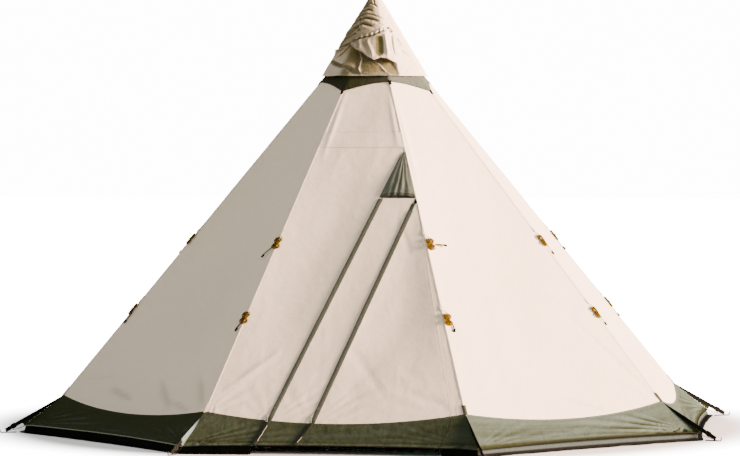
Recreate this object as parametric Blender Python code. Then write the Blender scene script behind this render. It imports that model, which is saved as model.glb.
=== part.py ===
"""Eight-sided canvas tipi on one telescopic centre pole, modelled piece by piece.

Metres, +Z up, origin on the ground under the pole. The door face looks along -Y.
Faces are counted from the door face towards +X, and corner n lies between faces n and n + 1.
On a face, x runs across it towards the next face, and a radius names the level: it is the
distance from the axis to the corner of the canvas at that height.
"""

import math

import bmesh
import bpy
from mathutils import Matrix, Vector

# Canvas cone
SIDES = 8
APEX_HEIGHT = 2.70
SEAM_RADIUS = 2.10
SEAM_HEIGHT = 0.23
SEAM_DIP = 0.055
WALL_TOP_RADIUS = 0.35
WALL_SAG = 0.018
CANVAS = 0.002
GAP = 0.0003

# Skirt and the flap under it
HEM_SPREAD = 0.248
HEM_RADIUS = SEAM_RADIUS + HEM_SPREAD
HEM_HEIGHT = 0.045
HEM_RISE = 0.012
HEM_DRAW = 0.03
SKIRT_CLOTH = 0.0025
SKIRT_BELLY = 0.008
FLAP_FLARE = 0.012
FLAP_LAP = 0.12
FLAP_GAP = 0.0011
FLAP_LIP = 0.03
DOORWAY_MARGIN = 0.02

# Doorway in the front face
BAND_CLOTH = 0.0015
BAND_STEP = 0.0005
BAND_HEIGHT = 0.084
BAND_REVEAL = 0.010
ZIP_TOP_RADIUS = 0.742
BAND_FOOT_RADIUS = ZIP_TOP_RADIUS - BAND_REVEAL
BAND_TOP_RADIUS = BAND_FOOT_RADIUS - BAND_HEIGHT
DOOR_TOP_RADIUS = 1.00
STRIP_TOP_GAP = 0.004
CANVAS_TOP_GAP = 0.03
CANVAS_TOP_RADIUS = DOOR_TOP_RADIUS + CANVAS_TOP_GAP
LEFT_ZIP_FOOT = 0.42
RIGHT_ZIP_FOOT = 0.69
LEFT_ZIP_HEM_OFFSET = 0.432
RIGHT_ZIP_HEM_OFFSET = 0.683
HINGE_MARGIN = 0.09
CUT_MARGIN = 0.236
SWING_CLEARANCE = 0.003
HINGE_GAP = 0.0009
NET = 0.0015
DOOR_NET_TOP_GAP = 0.02

# Hood over the doorway
HOOD_FOOT_RISE = 0.004
HOOD_FOOT_RADIUS = DOOR_TOP_RADIUS - HOOD_FOOT_RISE
HOOD_ARCH = 0.004
HOOD_BULGE = 0.020
HOOD_LAP = 0.012
HOOD_GATHERS = 5
HOOD_GATHER_DEPTH = 0.003
HOOD_CLOTH = 0.002
HOOD_TOP_GAP = 0.014
HOOD_CORNER_GAP = 0.001

# Zips
FLAP_SEWN_EDGE = 0.018
FLAP_FOLD = 0.009
FLAP_FREE_EDGE = -0.012
FLAP_STAND = 0.0072
FLAP_CLOTH = 0.002
FLAP_TOP_GAP = 0.006
RIGHT_FLAP_TOP_GAP = 0.070
FLAP_WALL_ROWS = 10
SLIDER_LENGTH = 0.018
SLIDER_WIDTH = 0.012
SLIDER_HEIGHT = 0.006
SLIDER_ABOVE_SEAM = 0.025
SLIDER_RADIUS = SEAM_RADIUS - SLIDER_ABOVE_SEAM
PULL_LENGTH = 0.034
PULL_WIDTH = 0.007
PULL_THICKNESS = 0.0018

# Corner straps and pegs
STRAP_WIDTH = 0.025
STRAP_PAST_HEM = 0.126
STRAP_REACH = HEM_RADIUS + STRAP_PAST_HEM
STRAP_END_HEIGHT = 0.027
FIN_THICKNESS = 0.0025
FIN_EDGE = 0.0008
FIN_NOSE = 0.012
STRAP_STAND = 0.002
PEG_RADIUS = 0.004
PEG_PAST_STRAP = 0.031
PEG_END = STRAP_REACH + PEG_PAST_STRAP
PEG_CLEARANCE = 0.004
PEG_HOOK = 0.022
PEG_BEND = 0.010
PEG_POINT = 0.4

# Guylines, each wound into a hank that hangs on its corner
CORD_RADIUS = 0.0015
UPPER_GUY_RADIUS = 1.19
LOWER_GUY_RADIUS = 1.575
GUY_LEAD = 0.034
HANK_RUN = 0.060
HANK_HALF_WIDTH = 0.0215
HANK_PITCH = 0.0048
HANK_LAYER = 0.0038
HANK_WAIST = 0.20
HANK_TURNS = 4
HANK_TAIL = 0.045
TAIL_START = 1.05
TAIL_END = 0.80
ARC_STEPS = 3
DOOR_CORNER_SHIFT = 0.024

# Vent collar and insect net under the cap
COLLAR_TOP_RADIUS = 0.27
COLLAR_HIGH_RADIUS = 0.372
COLLAR_LOW_RADIUS = 0.425
COLLAR_ARCH = 0.010
COLLAR_CLOTH = 0.002
NET_LAP = 0.016
NET_TOP_RADIUS = 0.075
RIB_WIDTH = 0.024
RIB_THICKNESS = 0.0035
RIB_EDGE = 0.001

# Vent cap
CAP_HEM_RADIUS = 0.352
CAP_HEM_DROP = 0.395
CAP_TIP_RISE = 0.190
CAP_HEM_HEIGHT = APEX_HEIGHT - CAP_HEM_DROP
CAP_TIP_HEIGHT = APEX_HEIGHT + CAP_TIP_RISE
CAP_CLOTH = 0.002
CAP_CLEARANCE = 0.010
CAP_SEGMENTS = 32
CAP_ROUND_SHARE = 0.86
CAP_END_SHARE = 0.965
CAP_TIP_DROP = 0.006
CAP_FOLD_DEPTH = 0.034
CAP_FOLD_BULGE = 0.016

# Crown hub, stem and pole
HUB_DROP = 0.140
HUB_CONE = 0.044
HUB_LENGTH = 0.160
HUB_BASE = APEX_HEIGHT - HUB_DROP
HUB_CONE_TOP = HUB_BASE + HUB_CONE
HUB_SLEEVE_TOP = HUB_BASE + HUB_LENGTH
HUB_SLEEVE_RADIUS = 0.016
HUB_CHAMFER = 0.002
CUT_PAST = 0.010
SOCKET_DEPTH = 0.040
STEM_RADIUS = 0.006
STEM_FOOT_GAP = 0.002
STEM_COLLAR_RADIUS = 0.012
STEM_COLLAR = 0.006
STEM_FILLET = 0.003
FINIAL_NECK = 0.012
FINIAL_LENGTH = 0.068
FINIAL_BASE = CAP_TIP_HEIGHT - FINIAL_LENGTH
RUNNING_GAP = 0.0005
UPPER_TUBE_RADIUS = 0.017
LOWER_TUBE_RADIUS = 0.019
TUBE_WALL = 0.0014
LOWER_TUBE_TOP = 1.45
TUBE_OVERLAP = 0.40
TUBE_OVERLAP_FOOT = LOWER_TUBE_TOP - TUBE_OVERLAP
SPIGOT_RADIUS = 0.0150
SPIGOT_TAPER = 0.004
HEAD_FLANGE = 0.004
HEAD_FLANGE_LENGTH = 0.030
HEAD_TAPER = 0.010
HEAD_PLUG = 0.015
FOOT_RADIUS = 0.032
FOOT_HEIGHT = 0.055
FOOT_SOLE = 0.012
FOOT_CHAMFER = 0.002
FOOT_FLANGE = 0.016
FOOT_WALL = 0.005
CLAMP_BELOW = 0.038
CLAMP_ABOVE = 0.026
CLAMP_BASE = LOWER_TUBE_TOP - CLAMP_BELOW
CLAMP_TOP = LOWER_TUBE_TOP + CLAMP_ABOVE
CLAMP_WALL = 0.005
CLAMP_CHAMFER = 0.003
LUG_THICKNESS = 0.006
LUG_LOW_SETBACK = 0.002
LUG_HIGH_SETBACK = 0.006
LUG_ROOT = 0.002
PIN_RADIUS = 0.0025
EYE_RADIUS = 0.006
LEVER_THICKNESS = 0.004
LEVER_SWEEP = math.radians(150)
LEVER_START = 0.06
LEVER_STEPS = 14
LEVER_TAB = 0.22
LEVER_TAB_OUT = 0.006
LEVER_TAB_THICKNESS = 0.003

STEP = 2 * math.pi / SIDES
COS_HALF = math.cos(STEP / 2)
SIN_HALF = math.sin(STEP / 2)
PITCH = (APEX_HEIGHT - SEAM_HEIGHT) / SEAM_RADIUS
UP = Vector((0, 0, 1))
PANEL_COLUMNS = 8
STRIP_COLUMNS = 4
PANEL_ROWS = 7


def clear_scene():
    """Removes what the file held."""
    for item in list(bpy.data.objects):
        bpy.data.objects.remove(item, do_unlink=True)


def make_material(name, colour, roughness, metallic=0.0):
    """A Principled BSDF material of one colour."""
    material = bpy.data.materials.new(name)
    material.use_nodes = True
    shader = material.node_tree.nodes["Principled BSDF"]
    shader.inputs["Base Color"].default_value = (*colour, 1.0)
    shader.inputs["Roughness"].default_value = roughness
    shader.inputs["Metallic"].default_value = metallic
    return material


def add_object(name, data, material, parent=None):
    """Links a mesh or curve as an object, with its place kept under a parent that stands on an axis."""
    item = bpy.data.objects.new(name, data)
    bpy.context.collection.objects.link(item)
    data.materials.append(material)
    if parent is not None:
        item.parent = parent
        item.matrix_parent_inverse = parent.matrix_world.inverted()
    return item


def add_axis(name, place, parent=None):
    """An empty that stands on a joint's axis."""
    empty = bpy.data.objects.new(name, None)
    bpy.context.collection.objects.link(empty)
    empty.matrix_world = Matrix.Translation(place)
    if parent is not None:
        empty.parent = parent
        empty.matrix_parent_inverse = parent.matrix_world.inverted()
    bpy.context.view_layer.update()
    return empty


def finish_mesh(name, work, smooth_angle=None):
    """Turns a bmesh into a mesh with its faces out."""
    bmesh.ops.recalc_face_normals(work, faces=work.faces)
    mesh = bpy.data.meshes.new(name)
    work.to_mesh(mesh)
    work.free()
    if smooth_angle is not None:
        mesh.shade_smooth()
        mesh.set_sharp_from_angle(angle=math.radians(smooth_angle))
    return mesh


def blend(a, b, share):
    """The value that lies a share of the way from a to b."""
    return a + (b - a) * share


def smooth_step(low, high, value):
    """Climbs smoothly from 0 at low to 1 at high."""
    share = min(max((value - low) / (high - low), 0.0), 1.0)
    return share * share * (3 - 2 * share)


# Places on the canvas cone

def bearing(turns):
    """Horizontal unit vector out from the axis, with turns counted in faces from the door face."""
    return Vector((math.sin(turns * STEP), -math.cos(turns * STEP), 0))


def across(turns):
    """Horizontal unit vector along a face, towards the next face."""
    return Vector((math.cos(turns * STEP), math.sin(turns * STEP), 0))


def level(radius):
    """Height of the canvas where its corner is at a radius."""
    return APEX_HEIGHT - PITCH * radius


def wall_normal(face):
    """Unit vector out of a wall's plane."""
    return (bearing(face) * PITCH + UP * COS_HALF).normalized()


RIDGE_SHARE = bearing(0.5).dot(wall_normal(0))


def wall_point(face, x, radius, lift=0.0):
    """Point of a wall's plane, raised out of it by a lift."""
    flat = bearing(face) * (COS_HALF * radius) + across(face) * x + UP * level(radius)
    return flat + wall_normal(face) * lift


def corner_point(corner, radius, lift=0.0):
    """Point of a corner line of the surface that lies a lift outside the walls."""
    return bearing(corner + 0.5) * (radius + lift / RIDGE_SHARE) + UP * level(radius)


def left_corner(radius):
    return -SIN_HALF * radius


def right_corner(radius):
    return SIN_HALF * radius - GAP


def line_between(start_radius, start_x, end_radius, end_x):
    """A straight line on a face, as x by radius."""
    def line(radius):
        return blend(start_x, end_x, (radius - start_radius) / (end_radius - start_radius))
    return line


def shifted(line, distance):
    """A line beside another, a distance towards the next face."""
    def moved(radius):
        return line(radius) + distance
    return moved


def seam_radius(share):
    """Radius of the seam between wall and skirt, with share from -1 to 1 between a face's corners."""
    return SEAM_RADIUS + SEAM_DIP * (1 - share * share)


def meet_seam(line):
    """Radius at which a line on a face reaches the seam."""
    radius = SEAM_RADIUS
    for _ in range(30):
        radius = seam_radius(line(radius) / (SIN_HALF * radius))
    return radius


def seam_share(line):
    """Where a line reaches the seam, from -1 to 1 between the corners."""
    radius = meet_seam(line)
    return line(radius) / (SIN_HALF * radius)


SEAM_HALF = SIN_HALF * SEAM_RADIUS
HEM_HALF = SIN_HALF * HEM_RADIUS
left_zip = line_between(ZIP_TOP_RADIUS, SIN_HALF * ZIP_TOP_RADIUS, SEAM_RADIUS, LEFT_ZIP_FOOT - SEAM_HALF)
right_zip = line_between(DOOR_TOP_RADIUS, SIN_HALF * DOOR_TOP_RADIUS, SEAM_RADIUS, RIGHT_ZIP_FOOT - SEAM_HALF)
hinge_line = line_between(DOOR_TOP_RADIUS, SIN_HALF * DOOR_TOP_RADIUS, SEAM_RADIUS, SEAM_HALF - HINGE_MARGIN)


def skirt_point(face, share, drop):
    """Point of a skirt panel's outer side: share -1 to 1 across, drop 0 at the seam to 1 at the hem."""
    radius = seam_radius(share)
    top = wall_point(face, share * SIN_HALF * radius, radius)
    arch = 1 - share * share
    foot = bearing(face) * (COS_HALF * HEM_RADIUS - HEM_DRAW * arch) + across(face) * (share * HEM_HALF)
    foot += UP * (HEM_HEIGHT + HEM_RISE * arch)
    belly = wall_normal(face) * (SKIRT_BELLY * arch * math.sin(math.pi * drop))
    return top.lerp(foot, drop) - belly


def skirt_normal(face, share, drop):
    """Unit vector out of a skirt panel."""
    reach = 0.01
    low = min(max(share, reach - 1), 1 - reach)
    side = skirt_point(face, low + reach, drop) - skirt_point(face, low - reach, drop)
    fall_to = min(drop + reach, 1.0)
    fall = skirt_point(face, low, fall_to) - skirt_point(face, low, fall_to - reach)
    return fall.cross(side).normalized()


# Cloth as a closed sheet with an outer and an inner side

def sheet_mesh(name, columns, closed=False):
    """Joins columns of (outer, inner) points, left to right and top to bottom, into one closed sheet."""
    work = bmesh.new()
    rows = len(columns[0])
    outer = [[work.verts.new(pair[0]) for pair in column] for column in columns]
    inner = [[work.verts.new(pair[1]) for pair in column] for column in columns]
    count = len(columns)
    spans = [(i, (i + 1) % count) for i in range(count if closed else count - 1)]
    for left, right in spans:
        for j in range(rows - 1):
            work.faces.new((outer[left][j], outer[left][j + 1], outer[right][j + 1], outer[right][j]))
            work.faces.new((inner[left][j], inner[right][j], inner[right][j + 1], inner[left][j + 1]))
        work.faces.new((outer[left][0], outer[right][0], inner[right][0], inner[left][0]))
        work.faces.new((outer[left][-1], inner[left][-1], inner[right][-1], outer[right][-1]))
    if not closed:
        for j in range(rows - 1):
            work.faces.new((outer[0][j], inner[0][j], inner[0][j + 1], outer[0][j + 1]))
            work.faces.new((outer[-1][j], outer[-1][j + 1], inner[-1][j + 1], inner[-1][j]))
    bmesh.ops.remove_doubles(work, verts=work.verts, dist=0.00001)
    return finish_mesh(name, work)


def flat_pair(face, x, radius, lift, cloth):
    """Outer and inner point of cloth whose outer side lies a lift above a wall's plane."""
    return wall_point(face, x, radius, lift), wall_point(face, x, radius, lift - cloth)


def mitred_pair(corner, radius, lift, cloth, setback=0.0):
    """Outer and inner point of cloth on the mitre between two walls, set back from it along the face."""
    shift = across(corner + 0.5) * setback
    return corner_point(corner, radius, lift) + shift, corner_point(corner, radius, lift - cloth) + shift


def wall_column(face, line, radii, sag, share, cloth):
    """One column of a wall panel, drawn in by the sag of the cloth between its edges."""
    column = []
    top, foot = radii[0], radii[-1]
    for radius in radii:
        droop = sag * math.sin(math.pi * share) * math.sin(math.pi * (radius - top) / (foot - top)) ** 2
        column.append(flat_pair(face, line(radius), radius, -droop, cloth))
    return column


def between(left, right, share):
    """The line a share of the way from one line to another."""
    def line(radius):
        return blend(left(radius), right(radius), share)
    return line


def spaced(top, foot, count, marks=()):
    """Radii from top to foot, evenly spaced, with the nearest ones moved onto the marks."""
    radii = [blend(top, foot, j / count) for j in range(count + 1)]
    for mark in marks:
        nearest = min(range(1, count), key=lambda j: abs(radii[j] - mark))
        radii[nearest] = mark
    return radii


def plain_wall(name, face, material):
    """A full wall panel between two corners."""
    columns = []
    for i in range(PANEL_COLUMNS + 1):
        share = i / PANEL_COLUMNS
        line = between(left_corner, right_corner, share)
        radii = spaced(WALL_TOP_RADIUS, meet_seam(line), PANEL_ROWS)
        if i == 0:
            columns.append([mitred_pair(face - 1, radius, 0, CANVAS) for radius in radii])
        elif i == PANEL_COLUMNS:
            columns.append([mitred_pair(face, radius, 0, CANVAS, -GAP) for radius in radii])
        else:
            columns.append(wall_column(face, line, radii, WALL_SAG, share, CANVAS))
    return add_object(name, sheet_mesh(name, columns), material)


def front_right_wall(name, material):
    """The panel right of the door face, with the jamb that wraps round its corner to the door's hinge line."""
    columns = []
    jamb = []
    for radius in spaced(WALL_TOP_RADIUS, meet_seam(hinge_line), PANEL_ROWS, [DOOR_TOP_RADIUS]):
        if radius <= DOOR_TOP_RADIUS:
            jamb.append(mitred_pair(0, radius, 0, CANVAS))
        else:
            jamb.append(flat_pair(0, hinge_line(radius), radius, 0, CANVAS))
    columns.append(jamb)
    for i in range(PANEL_COLUMNS + 1):
        share = i / PANEL_COLUMNS
        line = between(left_corner, right_corner, share)
        radii = spaced(WALL_TOP_RADIUS, meet_seam(line), PANEL_ROWS, [DOOR_TOP_RADIUS])
        if i == 0:
            columns.append([mitred_pair(0, radius, 0, CANVAS) for radius in radii])
        elif i == PANEL_COLUMNS:
            columns.append([mitred_pair(1, radius, 0, CANVAS, -GAP) for radius in radii])
        else:
            columns.append(wall_column(1, line, radii, WALL_SAG, share, CANVAS))
    return add_object(name, sheet_mesh(name, columns), material)


def front_wall(name, material):
    """The fixed canvas of the door face: up to the left zip, and from corner to corner above it.

    The header band is sewn on above the point where the zip meets the corner.
    """
    marks = [BAND_TOP_RADIUS - BAND_STEP, BAND_TOP_RADIUS, BAND_FOOT_RADIUS, BAND_FOOT_RADIUS + BAND_STEP,
             ZIP_TOP_RADIUS]
    zip_edge = shifted(left_zip, -GAP)
    columns = []
    for i in range(PANEL_COLUMNS + 1):
        share = i / PANEL_COLUMNS
        upper = between(left_corner, right_corner, share)
        lower = between(left_corner, zip_edge, share)
        foot = meet_seam(lower)
        radii = [WALL_TOP_RADIUS, 0.5 * (WALL_TOP_RADIUS + BAND_TOP_RADIUS), *marks]
        radii += spaced(ZIP_TOP_RADIUS, foot, PANEL_ROWS - 1)[1:]
        column = []
        for radius in radii:
            lift = BAND_CLOTH if BAND_TOP_RADIUS <= radius <= BAND_FOOT_RADIUS else 0
            line = upper if radius <= ZIP_TOP_RADIUS else lower
            fall = max(radius - ZIP_TOP_RADIUS, 0) / (foot - ZIP_TOP_RADIUS)
            droop = WALL_SAG * math.sin(math.pi * share) * math.sin(math.pi * fall)
            if i == 0:
                outer, inner = mitred_pair(-1, radius, 0, CANVAS)
            elif i == PANEL_COLUMNS and radius <= ZIP_TOP_RADIUS:
                outer, inner = mitred_pair(0, radius, 0, CANVAS, -GAP)
            else:
                outer, inner = flat_pair(0, line(radius), radius, -droop, CANVAS)
            column.append((outer + wall_normal(0) * lift, inner))
        columns.append(column)
    return add_object(name, sheet_mesh(name, columns), material)


def flat_panel(name, left, right, top, material, parent=None, sag=0.0, foot=None, cloth=CANVAS,
               count=PANEL_COLUMNS):
    """A panel in the door face between two lines, down to the seam or to a level of its own."""
    columns = []
    for i in range(count + 1):
        share = i / count
        line = between(left, right, share)
        end = foot if foot is not None else meet_seam(line)
        columns.append(wall_column(0, line, spaced(top, end, PANEL_ROWS), sag, share, cloth))
    return add_object(name, sheet_mesh(name, columns), material, parent)


# The skirt, in panels between two corners

def skirt_pair(face, share, drop, cloth, lift=0.0):
    """Outer and inner point of a skirt panel, mitred where it ends on a corner."""
    outer = skirt_point(face, share, drop)
    normal = skirt_normal(face, share, drop)
    if abs(share) < 0.999:
        return outer + normal * lift, outer + normal * (lift - cloth)
    corner = bearing(face + 0.5 * math.copysign(1, share))
    reach = corner.dot(normal)
    return outer + corner * (lift / reach), outer + corner * ((lift - cloth) / reach)


SKIRT_ROWS = 3
SKIRT_START = 0.0026


def skirt_column(face, top_share, foot_share, cloth, setback=0.0):
    """One column of a skirt panel from just under the seam to the hem."""
    column = []
    shift = across(face) * setback
    for j in range(SKIRT_ROWS + 1):
        drop = blend(SKIRT_START, 1.0, j / SKIRT_ROWS)
        outer, inner = skirt_pair(face, blend(top_share, foot_share, drop), drop, cloth)
        column.append((outer + shift, inner + shift))
    return column


def skirt_under(lines, start, end, face=0):
    """Skirt columns whose tops meet the feet of a wall panel's lines, with hem shares from start to end."""
    result = []
    for i, line in enumerate(lines):
        hem_share = blend(start, end, i / (len(lines) - 1))
        result.append(skirt_column(face, seam_share(line), hem_share, SKIRT_CLOTH))
    return result


def lines_between(left, right, count):
    """Evenly spread lines from one line to another."""
    return [between(left, right, i / count) for i in range(count + 1)]


ZIP_LEFT_HEM_SHARE = LEFT_ZIP_HEM_OFFSET / HEM_HALF - 1
ZIP_RIGHT_HEM_SHARE = RIGHT_ZIP_HEM_OFFSET / HEM_HALF - 1
CUT_HEM_SHARE = 1 - CUT_MARGIN / HEM_HALF


def make_skirts(material):
    """The skirt panels. The front one ends at the left zip, the next starts at the door's cut."""
    lines = lines_between(left_corner, shifted(left_zip, -GAP), PANEL_COLUMNS)
    front = skirt_under(lines, -1.0, ZIP_LEFT_HEM_SHARE - GAP / HEM_HALF)
    add_object("skirt_front", sheet_mesh("skirt_front", front), material)
    for face, place in enumerate(FACE_NAMES):
        if face == 0:
            continue
        columns = []
        if face == 1:
            columns.append(skirt_column(0, seam_share(hinge_line), CUT_HEM_SHARE, SKIRT_CLOTH))
        for i in range(PANEL_COLUMNS + 1):
            share = blend(-1.0, 1.0, i / PANEL_COLUMNS)
            columns.append(skirt_column(face, share, share, SKIRT_CLOTH, -GAP if share > 0.999 else 0.0))
        name = "skirt_" + place
        add_object(name, sheet_mesh(name, columns), material)


def make_ground_flap(material):
    """The flap from the hem to the ground, open at the doorway, with a lip that lies on the ground."""
    stations = []
    for i in range(3):
        stations.append((0, blend(CUT_HEM_SHARE + DOORWAY_MARGIN / HEM_HALF, 1.0, i / 2)))
    for face in range(1, SIDES):
        for i in range(1, PANEL_COLUMNS + 1):
            stations.append((face, blend(-1.0, 1.0, i / PANEL_COLUMNS)))
    for i in range(1, 3):
        stations.append((SIDES, blend(-1.0, ZIP_LEFT_HEM_SHARE - DOORWAY_MARGIN / HEM_HALF, i / 2)))
    columns = []
    for face, share in stations:
        if abs(share) > 0.999:
            out = bearing(face + 0.5 * math.copysign(1, share))
            reach = out.dot(bearing(face))
        else:
            out = bearing(face)
            reach = 1.0
        row_above = blend(SKIRT_START, 1.0, (SKIRT_ROWS - 1) / SKIRT_ROWS)
        hem_inner = skirt_pair(face, share, 1.0, SKIRT_CLOTH)[1]
        hem_inner = hem_inner.lerp(skirt_pair(face, share, row_above, SKIRT_CLOTH)[1], FLAP_LAP)
        top = hem_inner - out * (FLAP_GAP / reach)
        knee = Vector((top.x, top.y, SKIRT_CLOTH)) + out * (FLAP_FLARE / reach)
        lip = knee + out * (FLAP_LIP / reach)
        back = out * (SKIRT_CLOTH / reach)
        drop = UP * SKIRT_CLOTH
        columns.append([(top, top - back), (knee, knee - drop - back), (lip, lip - drop)])
    add_object("ground_flap", sheet_mesh("ground_flap", columns), material)


# The door and what is on it

def strip_on_door(name, line, hem_share, top_gap, material, parent):
    """A storm flap over a zip: sewn on beside it, folded up and free on its other side, down to the hem."""
    columns = []
    for offset, inner in ((FLAP_FREE_EDGE, FLAP_STAND), (FLAP_FOLD, FLAP_STAND), (FLAP_SEWN_EDGE, GAP)):
        edge = shifted(line, offset)
        foot = meet_seam(edge)
        lift = inner + FLAP_CLOTH
        column = []
        for j in range(FLAP_WALL_ROWS):
            radius = blend(DOOR_TOP_RADIUS + top_gap, foot, j / FLAP_WALL_ROWS)
            column.append(flat_pair(0, edge(radius), radius, lift, FLAP_CLOTH))
        top_share = seam_share(edge)
        foot_share = hem_share + offset / HEM_HALF
        for j in range(SKIRT_ROWS + 1):
            drop = j / SKIRT_ROWS
            share = blend(top_share, foot_share, drop)
            column.append(skirt_pair(0, share, drop, FLAP_CLOTH, lift))
        columns.append(column)
    return add_object(name, sheet_mesh(name, columns), material, parent)


def zip_frame(line, radius):
    """Place and axes on a zip line: across it, up along it, and out of the cloth."""
    place = wall_point(0, line(radius), radius)
    up_line = (wall_point(0, line(radius - 0.5), radius - 0.5) - place).normalized()
    out = wall_normal(0)
    side = up_line.cross(out)
    frame = Matrix((side, up_line, out)).transposed().to_4x4()
    frame.translation = place
    return frame


def make_slider(name, line, material, parent):
    """A zip slider: a body with a waisted plan and a bridge, and the pull that hangs from it."""
    frame = zip_frame(line, SLIDER_RADIUS)
    base = GAP
    work = bmesh.new()
    half_length, half_width = SLIDER_LENGTH / 2, SLIDER_WIDTH / 2
    plan = [(-0.6, -1), (0.6, -1), (0.78, -0.2), (1, 0.7), (0.7, 1), (-0.7, 1), (-1, 0.7), (-0.78, -0.2)]
    ring = [work.verts.new((x * half_width, y * half_length, base)) for x, y in plan]
    face = work.faces.new(ring)
    raised = bmesh.ops.extrude_face_region(work, geom=[face])
    top = [item for item in raised["geom"] if isinstance(item, bmesh.types.BMVert)]
    bmesh.ops.translate(work, verts=top, vec=(0, 0, SLIDER_HEIGHT * 0.6))
    top_face = [item for item in raised["geom"] if isinstance(item, bmesh.types.BMFace)]
    bmesh.ops.inset_region(work, faces=top_face, thickness=0.0012, depth=0.0008)
    bridge = bmesh.ops.extrude_face_region(work, geom=top_face)
    bridge_top = [item for item in bridge["geom"] if isinstance(item, bmesh.types.BMVert)]
    bmesh.ops.translate(work, verts=bridge_top, vec=(0, 0, SLIDER_HEIGHT * 0.25))
    bmesh.ops.delete(work, geom=top_face, context="FACES_ONLY")
    body = add_object(name, finish_mesh(name, work), material, parent)
    pull = bmesh.new()
    start = -half_length * 0.2
    outline = [(-0.45, start), (0.45, start), (0.5, start - 0.012), (0.5, start - PULL_LENGTH + 0.003),
               (0.3, start - PULL_LENGTH), (-0.3, start - PULL_LENGTH), (-0.5, start - PULL_LENGTH + 0.003),
               (-0.5, start - 0.012)]
    height = SLIDER_HEIGHT * 0.5
    rim = [pull.verts.new((x * PULL_WIDTH, y, height)) for x, y in outline]
    blade = pull.faces.new(rim)
    grown = bmesh.ops.extrude_face_region(pull, geom=[blade])
    lifted = [item for item in grown["geom"] if isinstance(item, bmesh.types.BMVert)]
    bmesh.ops.translate(pull, verts=lifted, vec=(0, 0, PULL_THICKNESS))
    tab = add_guide(name + "_pull", finish_mesh(name + "_pull", pull))
    body.matrix_world = frame
    tab.matrix_world = frame
    unite(body, tab)
    return body


def add_guide(name, mesh):
    """A hidden object that a Boolean of another one uses."""
    guide = bpy.data.objects.new(name, mesh)
    bpy.context.collection.objects.link(guide)
    guide.hide_render = True
    guide.display_type = "WIRE"
    return guide


def unite(item, guide):
    """Joins a hidden object's solid to an item."""
    modifier = item.modifiers.new("joined " + guide.name, "BOOLEAN")
    modifier.operation = "UNION"
    modifier.object = guide


def cut(item, guide):
    """Takes a hidden object's solid out of an item."""
    modifier = item.modifiers.new("cut " + guide.name, "BOOLEAN")
    modifier.operation = "DIFFERENCE"
    modifier.object = guide


def make_hood(material):
    """The gathered triangular hood, sewn on beside the zip and along the corner and open at its foot."""
    count = 2 * HOOD_GATHERS + 4
    rows = 6
    left = shifted(left_zip, -HOOD_LAP)
    right = shifted(right_corner, -HOOD_CORNER_GAP)
    columns = []
    for i in range(count + 1):
        share = i / count
        column = []
        for j in range(rows + 1):
            fall = j / rows
            foot = HOOD_FOOT_RADIUS - HOOD_ARCH * math.sin(math.pi * share)
            radius = blend(ZIP_TOP_RADIUS + HOOD_TOP_GAP, foot, fall)
            bulge = HOOD_BULGE * math.sin(math.pi * share) * fall
            wave = math.cos(2 * math.pi * HOOD_GATHERS * share) * math.sin(math.pi * share)
            gather = HOOD_GATHER_DEPTH * fall * wave
            lift = GAP + HOOD_CLOTH + bulge + gather
            column.append(flat_pair(0, between(left, right, share)(radius), radius, lift, HOOD_CLOTH))
        columns.append(column)
    add_object("door_hood", sheet_mesh("door_hood", columns), material)


def make_door(canvas, skirt, trim, metal):
    """The door on its hinge line, with the strip between the zips, its skirt, storm flaps and sliders."""
    top = wall_point(0, hinge_line(DOOR_TOP_RADIUS), DOOR_TOP_RADIUS)
    foot = wall_point(0, hinge_line(SEAM_RADIUS), SEAM_RADIUS)
    print("door hinge foot", tuple(round(c, 5) for c in foot))
    print("door hinge axis", tuple(round(c, 6) for c in (top - foot).normalized()))
    axis = add_axis("door_axis", foot)
    flat_panel("door_strip", shifted(left_zip, GAP), shifted(right_zip, -GAP), DOOR_TOP_RADIUS + STRIP_TOP_GAP,
               canvas, axis, count=STRIP_COLUMNS)
    flat_panel("door_canvas", shifted(right_zip, GAP), shifted(hinge_line, -HINGE_GAP), CANVAS_TOP_RADIUS,
               canvas, axis, sag=WALL_SAG)
    strip_lines = lines_between(shifted(left_zip, GAP), shifted(right_zip, -GAP), STRIP_COLUMNS)
    canvas_lines = lines_between(shifted(right_zip, GAP), shifted(hinge_line, -HINGE_GAP), PANEL_COLUMNS)
    canvas_lines[-1] = shifted(hinge_line, -SWING_CLEARANCE)
    columns = skirt_under(strip_lines, ZIP_LEFT_HEM_SHARE + GAP / HEM_HALF, ZIP_RIGHT_HEM_SHARE)
    columns += skirt_under(canvas_lines, ZIP_RIGHT_HEM_SHARE, CUT_HEM_SHARE - SWING_CLEARANCE / HEM_HALF)[1:]
    add_object("door_skirt", sheet_mesh("door_skirt", columns), skirt, axis)
    strip_on_door("zip_flap_left", left_zip, ZIP_LEFT_HEM_SHARE, FLAP_TOP_GAP, trim, axis)
    strip_on_door("zip_flap_right", right_zip, ZIP_RIGHT_HEM_SHARE, RIGHT_FLAP_TOP_GAP, trim, axis)
    for side, line in (("left", left_zip), ("right", right_zip)):
        place = wall_point(0, line(SLIDER_RADIUS), SLIDER_RADIUS)
        slide = add_axis("zip_axis_" + side, place, axis)
        make_slider("zip_slider_" + side, line, metal, slide)
        up_line = zip_frame(line, SLIDER_RADIUS).col[1]
        print("zip", side, tuple(round(c, 6) for c in up_line[:3]))


# Corner straps and their pegs

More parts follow.
